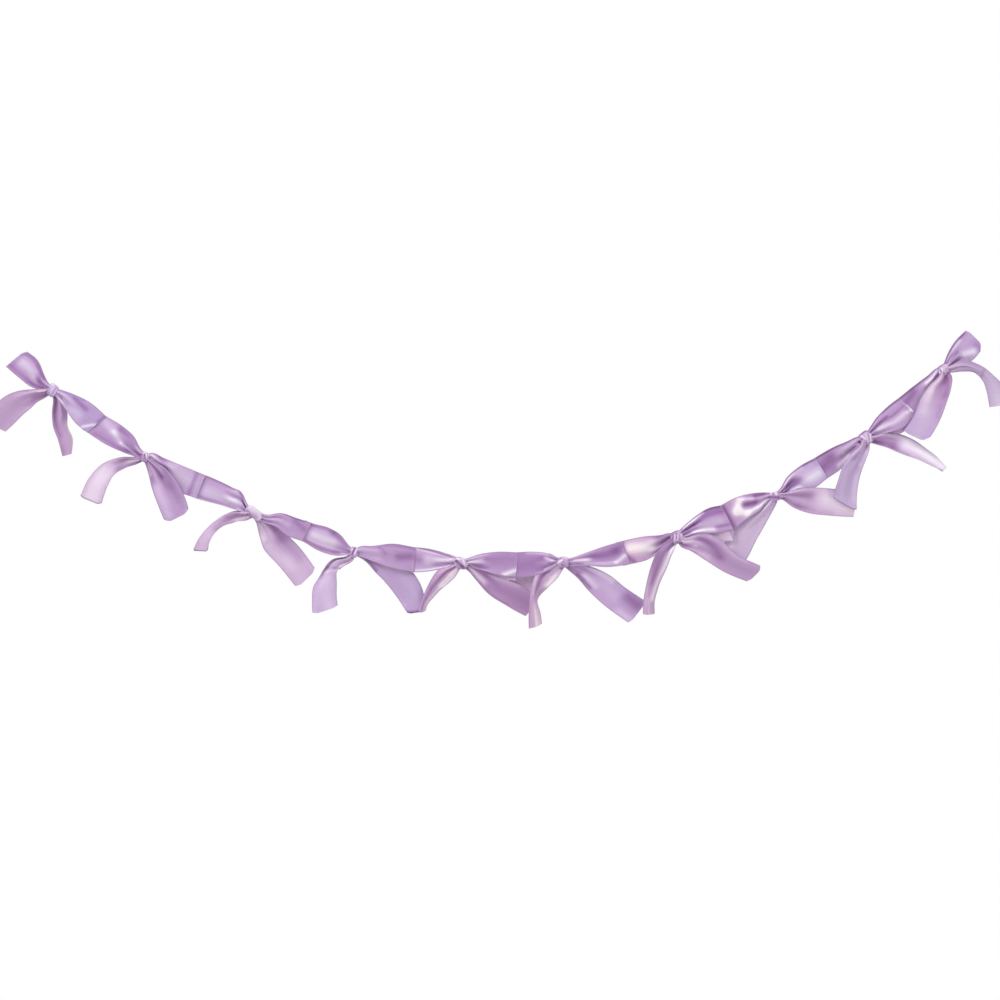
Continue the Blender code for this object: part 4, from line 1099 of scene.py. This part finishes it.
# %% [markdown]
# ## Stitches
#
# A row of small running stitches, in thread of the ribbon's own colour, holds each lap together just inside
# its fold. They could be placed by hand, but a row repeats one shape along a path, which is what Geometry
# Nodes do best: the path becomes a curve, the curve is cut into even steps, and one short arched thread is
# set on each step, turned along the path, with a little chance in its length. Realize Instances makes them
# plain mesh.

# %% The thread
THREAD_DARK, THREAD_PALE = (0.36, 0.21, 0.43), (0.64, 0.52, 0.70)
THREAD_GRAIN = 4 / MM    # waves of its twist for each metre


def sewing_thread():
    board = Board("sewing_thread")
    place = board.node("ShaderNodeTexCoord", {}, {}, "Object")
    twist = board.noise(board.times(place, (THREAD_GRAIN, THREAD_GRAIN, THREAD_GRAIN)))
    return board.finish(Base_Color=board.mix(twist, THREAD_DARK, THREAD_PALE), Roughness=0.45,
                        Normal=board.bump(twist, 0.5))


thread = sewing_thread()
print("thread nodes:", len(thread.node_tree.nodes))


# %% A tree of Geometry Nodes
class Tree:
    """A Geometry Nodes tree with named inputs."""

    def __init__(self, name, inputs):
        self.tree = bpy.data.node_groups.new(name, "GeometryNodeTree")
        sockets = self.tree.interface
        sockets.new_socket("Geometry", in_out="INPUT", socket_type="NodeSocketGeometry")
        sockets.new_socket("Geometry", in_out="OUTPUT", socket_type="NodeSocketGeometry")
        self.keys = {}
        for label, kind in inputs.items():
            self.keys[label] = sockets.new_socket(label, in_out="INPUT", socket_type=kind).identifier
        self.start = self.tree.nodes.new("NodeGroupInput")

    def node(self, kind, settings, inputs):
        made = self.tree.nodes.new(kind)
        for name, value in settings.items():
            setattr(made, name, value)
        for name, value in inputs.items():
            if isinstance(value, bpy.types.NodeSocket):
                self.tree.links.new(value, made.inputs[name])
            else:
                made.inputs[name].default_value = value
        return made.outputs[0]

    def times(self, first, second):
        return self.node("ShaderNodeMath", {"operation": "MULTIPLY"}, {0: first, 1: second})

    def given(self, label):
        return self.start.outputs[label]

    def finish(self, geometry):
        end = self.tree.nodes.new("NodeGroupOutput")
        self.tree.links.new(geometry, end.inputs["Geometry"])


print("a tree knows:", [name for name in vars(Tree) if not name.startswith("_")])

# %% The tree of the stitches
HALF_STITCH = 0.32       # half a stitch's length, as a share of the step; the rest is the gap to the next
STITCH_SIDES = 6         # sides of the thread, and steps along its arch
SHORTEST = (1.0, 1.0, 0.85)    # scale of a stitch in its two thicknesses and its length, at least
LONGEST = (1.0, 1.0, 1.1)      # and at most


def stitch_tree():
    t = Tree("running_stitches", {"Step": "NodeSocketFloat", "Thread": "NodeSocketFloat",
                                  "Bend": "NodeSocketFloat", "Seed": "NodeSocketInt",
                                  "Finish": "NodeSocketMaterial"})
    step, bend = t.given("Step"), t.given("Bend")
    path = t.node("GeometryNodeMeshToCurve", {}, {"Mesh": t.given("Geometry")})
    steps = t.node("GeometryNodeResampleCurve", {"mode": "LENGTH"}, {"Curve": path, "Length": step})
    half = t.times(step, HALF_STITCH)
    below, deep = t.times(half, -1.0), t.times(bend, -1.0)
    corners = {label: t.node("ShaderNodeCombineXYZ", {}, {"X": depth, "Z": along})
               for label, depth, along in (("Start", deep, below), ("Start Handle", bend, below),
                                           ("End Handle", bend, half), ("End", deep, half))}
    arch = t.node("GeometryNodeCurvePrimitiveBezierSegment", {}, {"Resolution": STITCH_SIDES, **corners})
    ring = t.node("GeometryNodeCurvePrimitiveCircle", {},
                  {"Resolution": STITCH_SIDES, "Radius": t.given("Thread")})
    stitch = t.node("GeometryNodeCurveToMesh", {},
                    {"Curve": arch, "Profile Curve": ring, "Fill Caps": True})
    tangent = t.node("GeometryNodeInputTangent", {}, {})
    turn = t.node("FunctionNodeAlignRotationToVector", {"axis": "Z"}, {"Vector": tangent})
    turn = t.node("FunctionNodeAlignRotationToVector", {"axis": "X", "pivot_axis": "Z"},
                  {"Rotation": turn, "Vector": tuple(FACING)})
    length = t.node("FunctionNodeRandomValue", {"data_type": "FLOAT_VECTOR"},
                    {"Min": SHORTEST, "Max": LONGEST, "Seed": t.given("Seed")})
    row = t.node("GeometryNodeInstanceOnPoints", {},
                 {"Points": steps, "Instance": stitch, "Rotation": turn, "Scale": length})
    real = t.node("GeometryNodeRealizeInstances", {}, {"Geometry": row})
    t.finish(t.node("GeometryNodeSetMaterial", {}, {"Geometry": real, "Material": t.given("Finish")}))
    return t


stitcher = stitch_tree()
print("stitch nodes:", len(stitcher.tree.nodes), "inputs:", list(stitcher.keys))

# %% Sewing the laps
STITCH_SIZES = {"Step": 3.1 * MM, "Thread": 0.17 * MM, "Bend": 0.22 * MM, "Seed": 5, "Finish": thread}
SEAM_EDGE = 2            # columns left free at each edge of the ribbon


def sew(paths):
    """One mesh of stitches along all the paths."""
    points, edges = [], []
    for path in paths:
        inner = path[SEAM_EDGE:-SEAM_EDGE] * MM
        edges += [(len(points) + i, len(points) + i + 1) for i in range(len(inner) - 1)]
        points += inner.tolist()
    lines = bpy.data.meshes.new("seam_lines")
    lines.from_pydata(points, edges, [])
    guide = bpy.data.objects.new("seam_guide", lines)
    bpy.context.scene.collection.objects.link(guide)
    sewing = guide.modifiers.new("stitches", "NODES")
    sewing.node_group = stitcher.tree
    for label, value in STITCH_SIZES.items():
        sewing[stitcher.keys[label]] = value
    ready = guide.evaluated_get(bpy.context.evaluated_depsgraph_get())
    mesh = bpy.data.meshes.new_from_object(ready)
    bpy.data.objects.remove(guide)
    mesh.materials.clear()
    mesh.materials.append(thread)
    mesh.polygons.foreach_set("material_index", [0] * len(mesh.polygons))
    mesh.shade_smooth()
    stitches = bpy.data.objects.new("lap_stitches", mesh)
    bpy.context.scene.collection.objects.link(stitches)
    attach(stitches, "root")
    return stitches


stitches = sew(seams[:-1])
print("stitch faces:", len(stitches.data.polygons), "material:", stitches.data.materials[0].name)

# %% [markdown] ## Floor  The garland hangs free, so nothing rests on the floor. A plain pale one, well
# below, catches the light as a real room's does, and tells the eye which way is down.

# %% The floor
FLOOR_DROP = 900.0 * MM         # below the garland's start
FLOOR_ACROSS = (-2.0, 3.0)      # m, from left to right
FLOOR_DEEP = (-4.0, 1.2)        # and from near to far
FLOOR_COLOUR = (0.85, 0.85, 0.86, 1.0)


def add_floor():
    mesh = bpy.data.meshes.new("floor")
    (left, right), (near, far) = FLOOR_ACROSS, FLOOR_DEEP
    corners = ((left, near), (right, near), (right, far), (left, far))
    mesh.from_pydata([(x, y, -FLOOR_DROP) for x, y in corners], [], [(0, 1, 2, 3)])
    mesh.materials.append(Board("pale_floor").finish(Base_Color=FLOOR_COLOUR, Roughness=0.7))
    floor = bpy.data.objects.new("floor", mesh)
    bpy.context.scene.collection.objects.link(floor)


add_floor()
print("the floor lies this far below the garland's start, mm:", round(FLOOR_DROP / MM))

# %% [markdown]
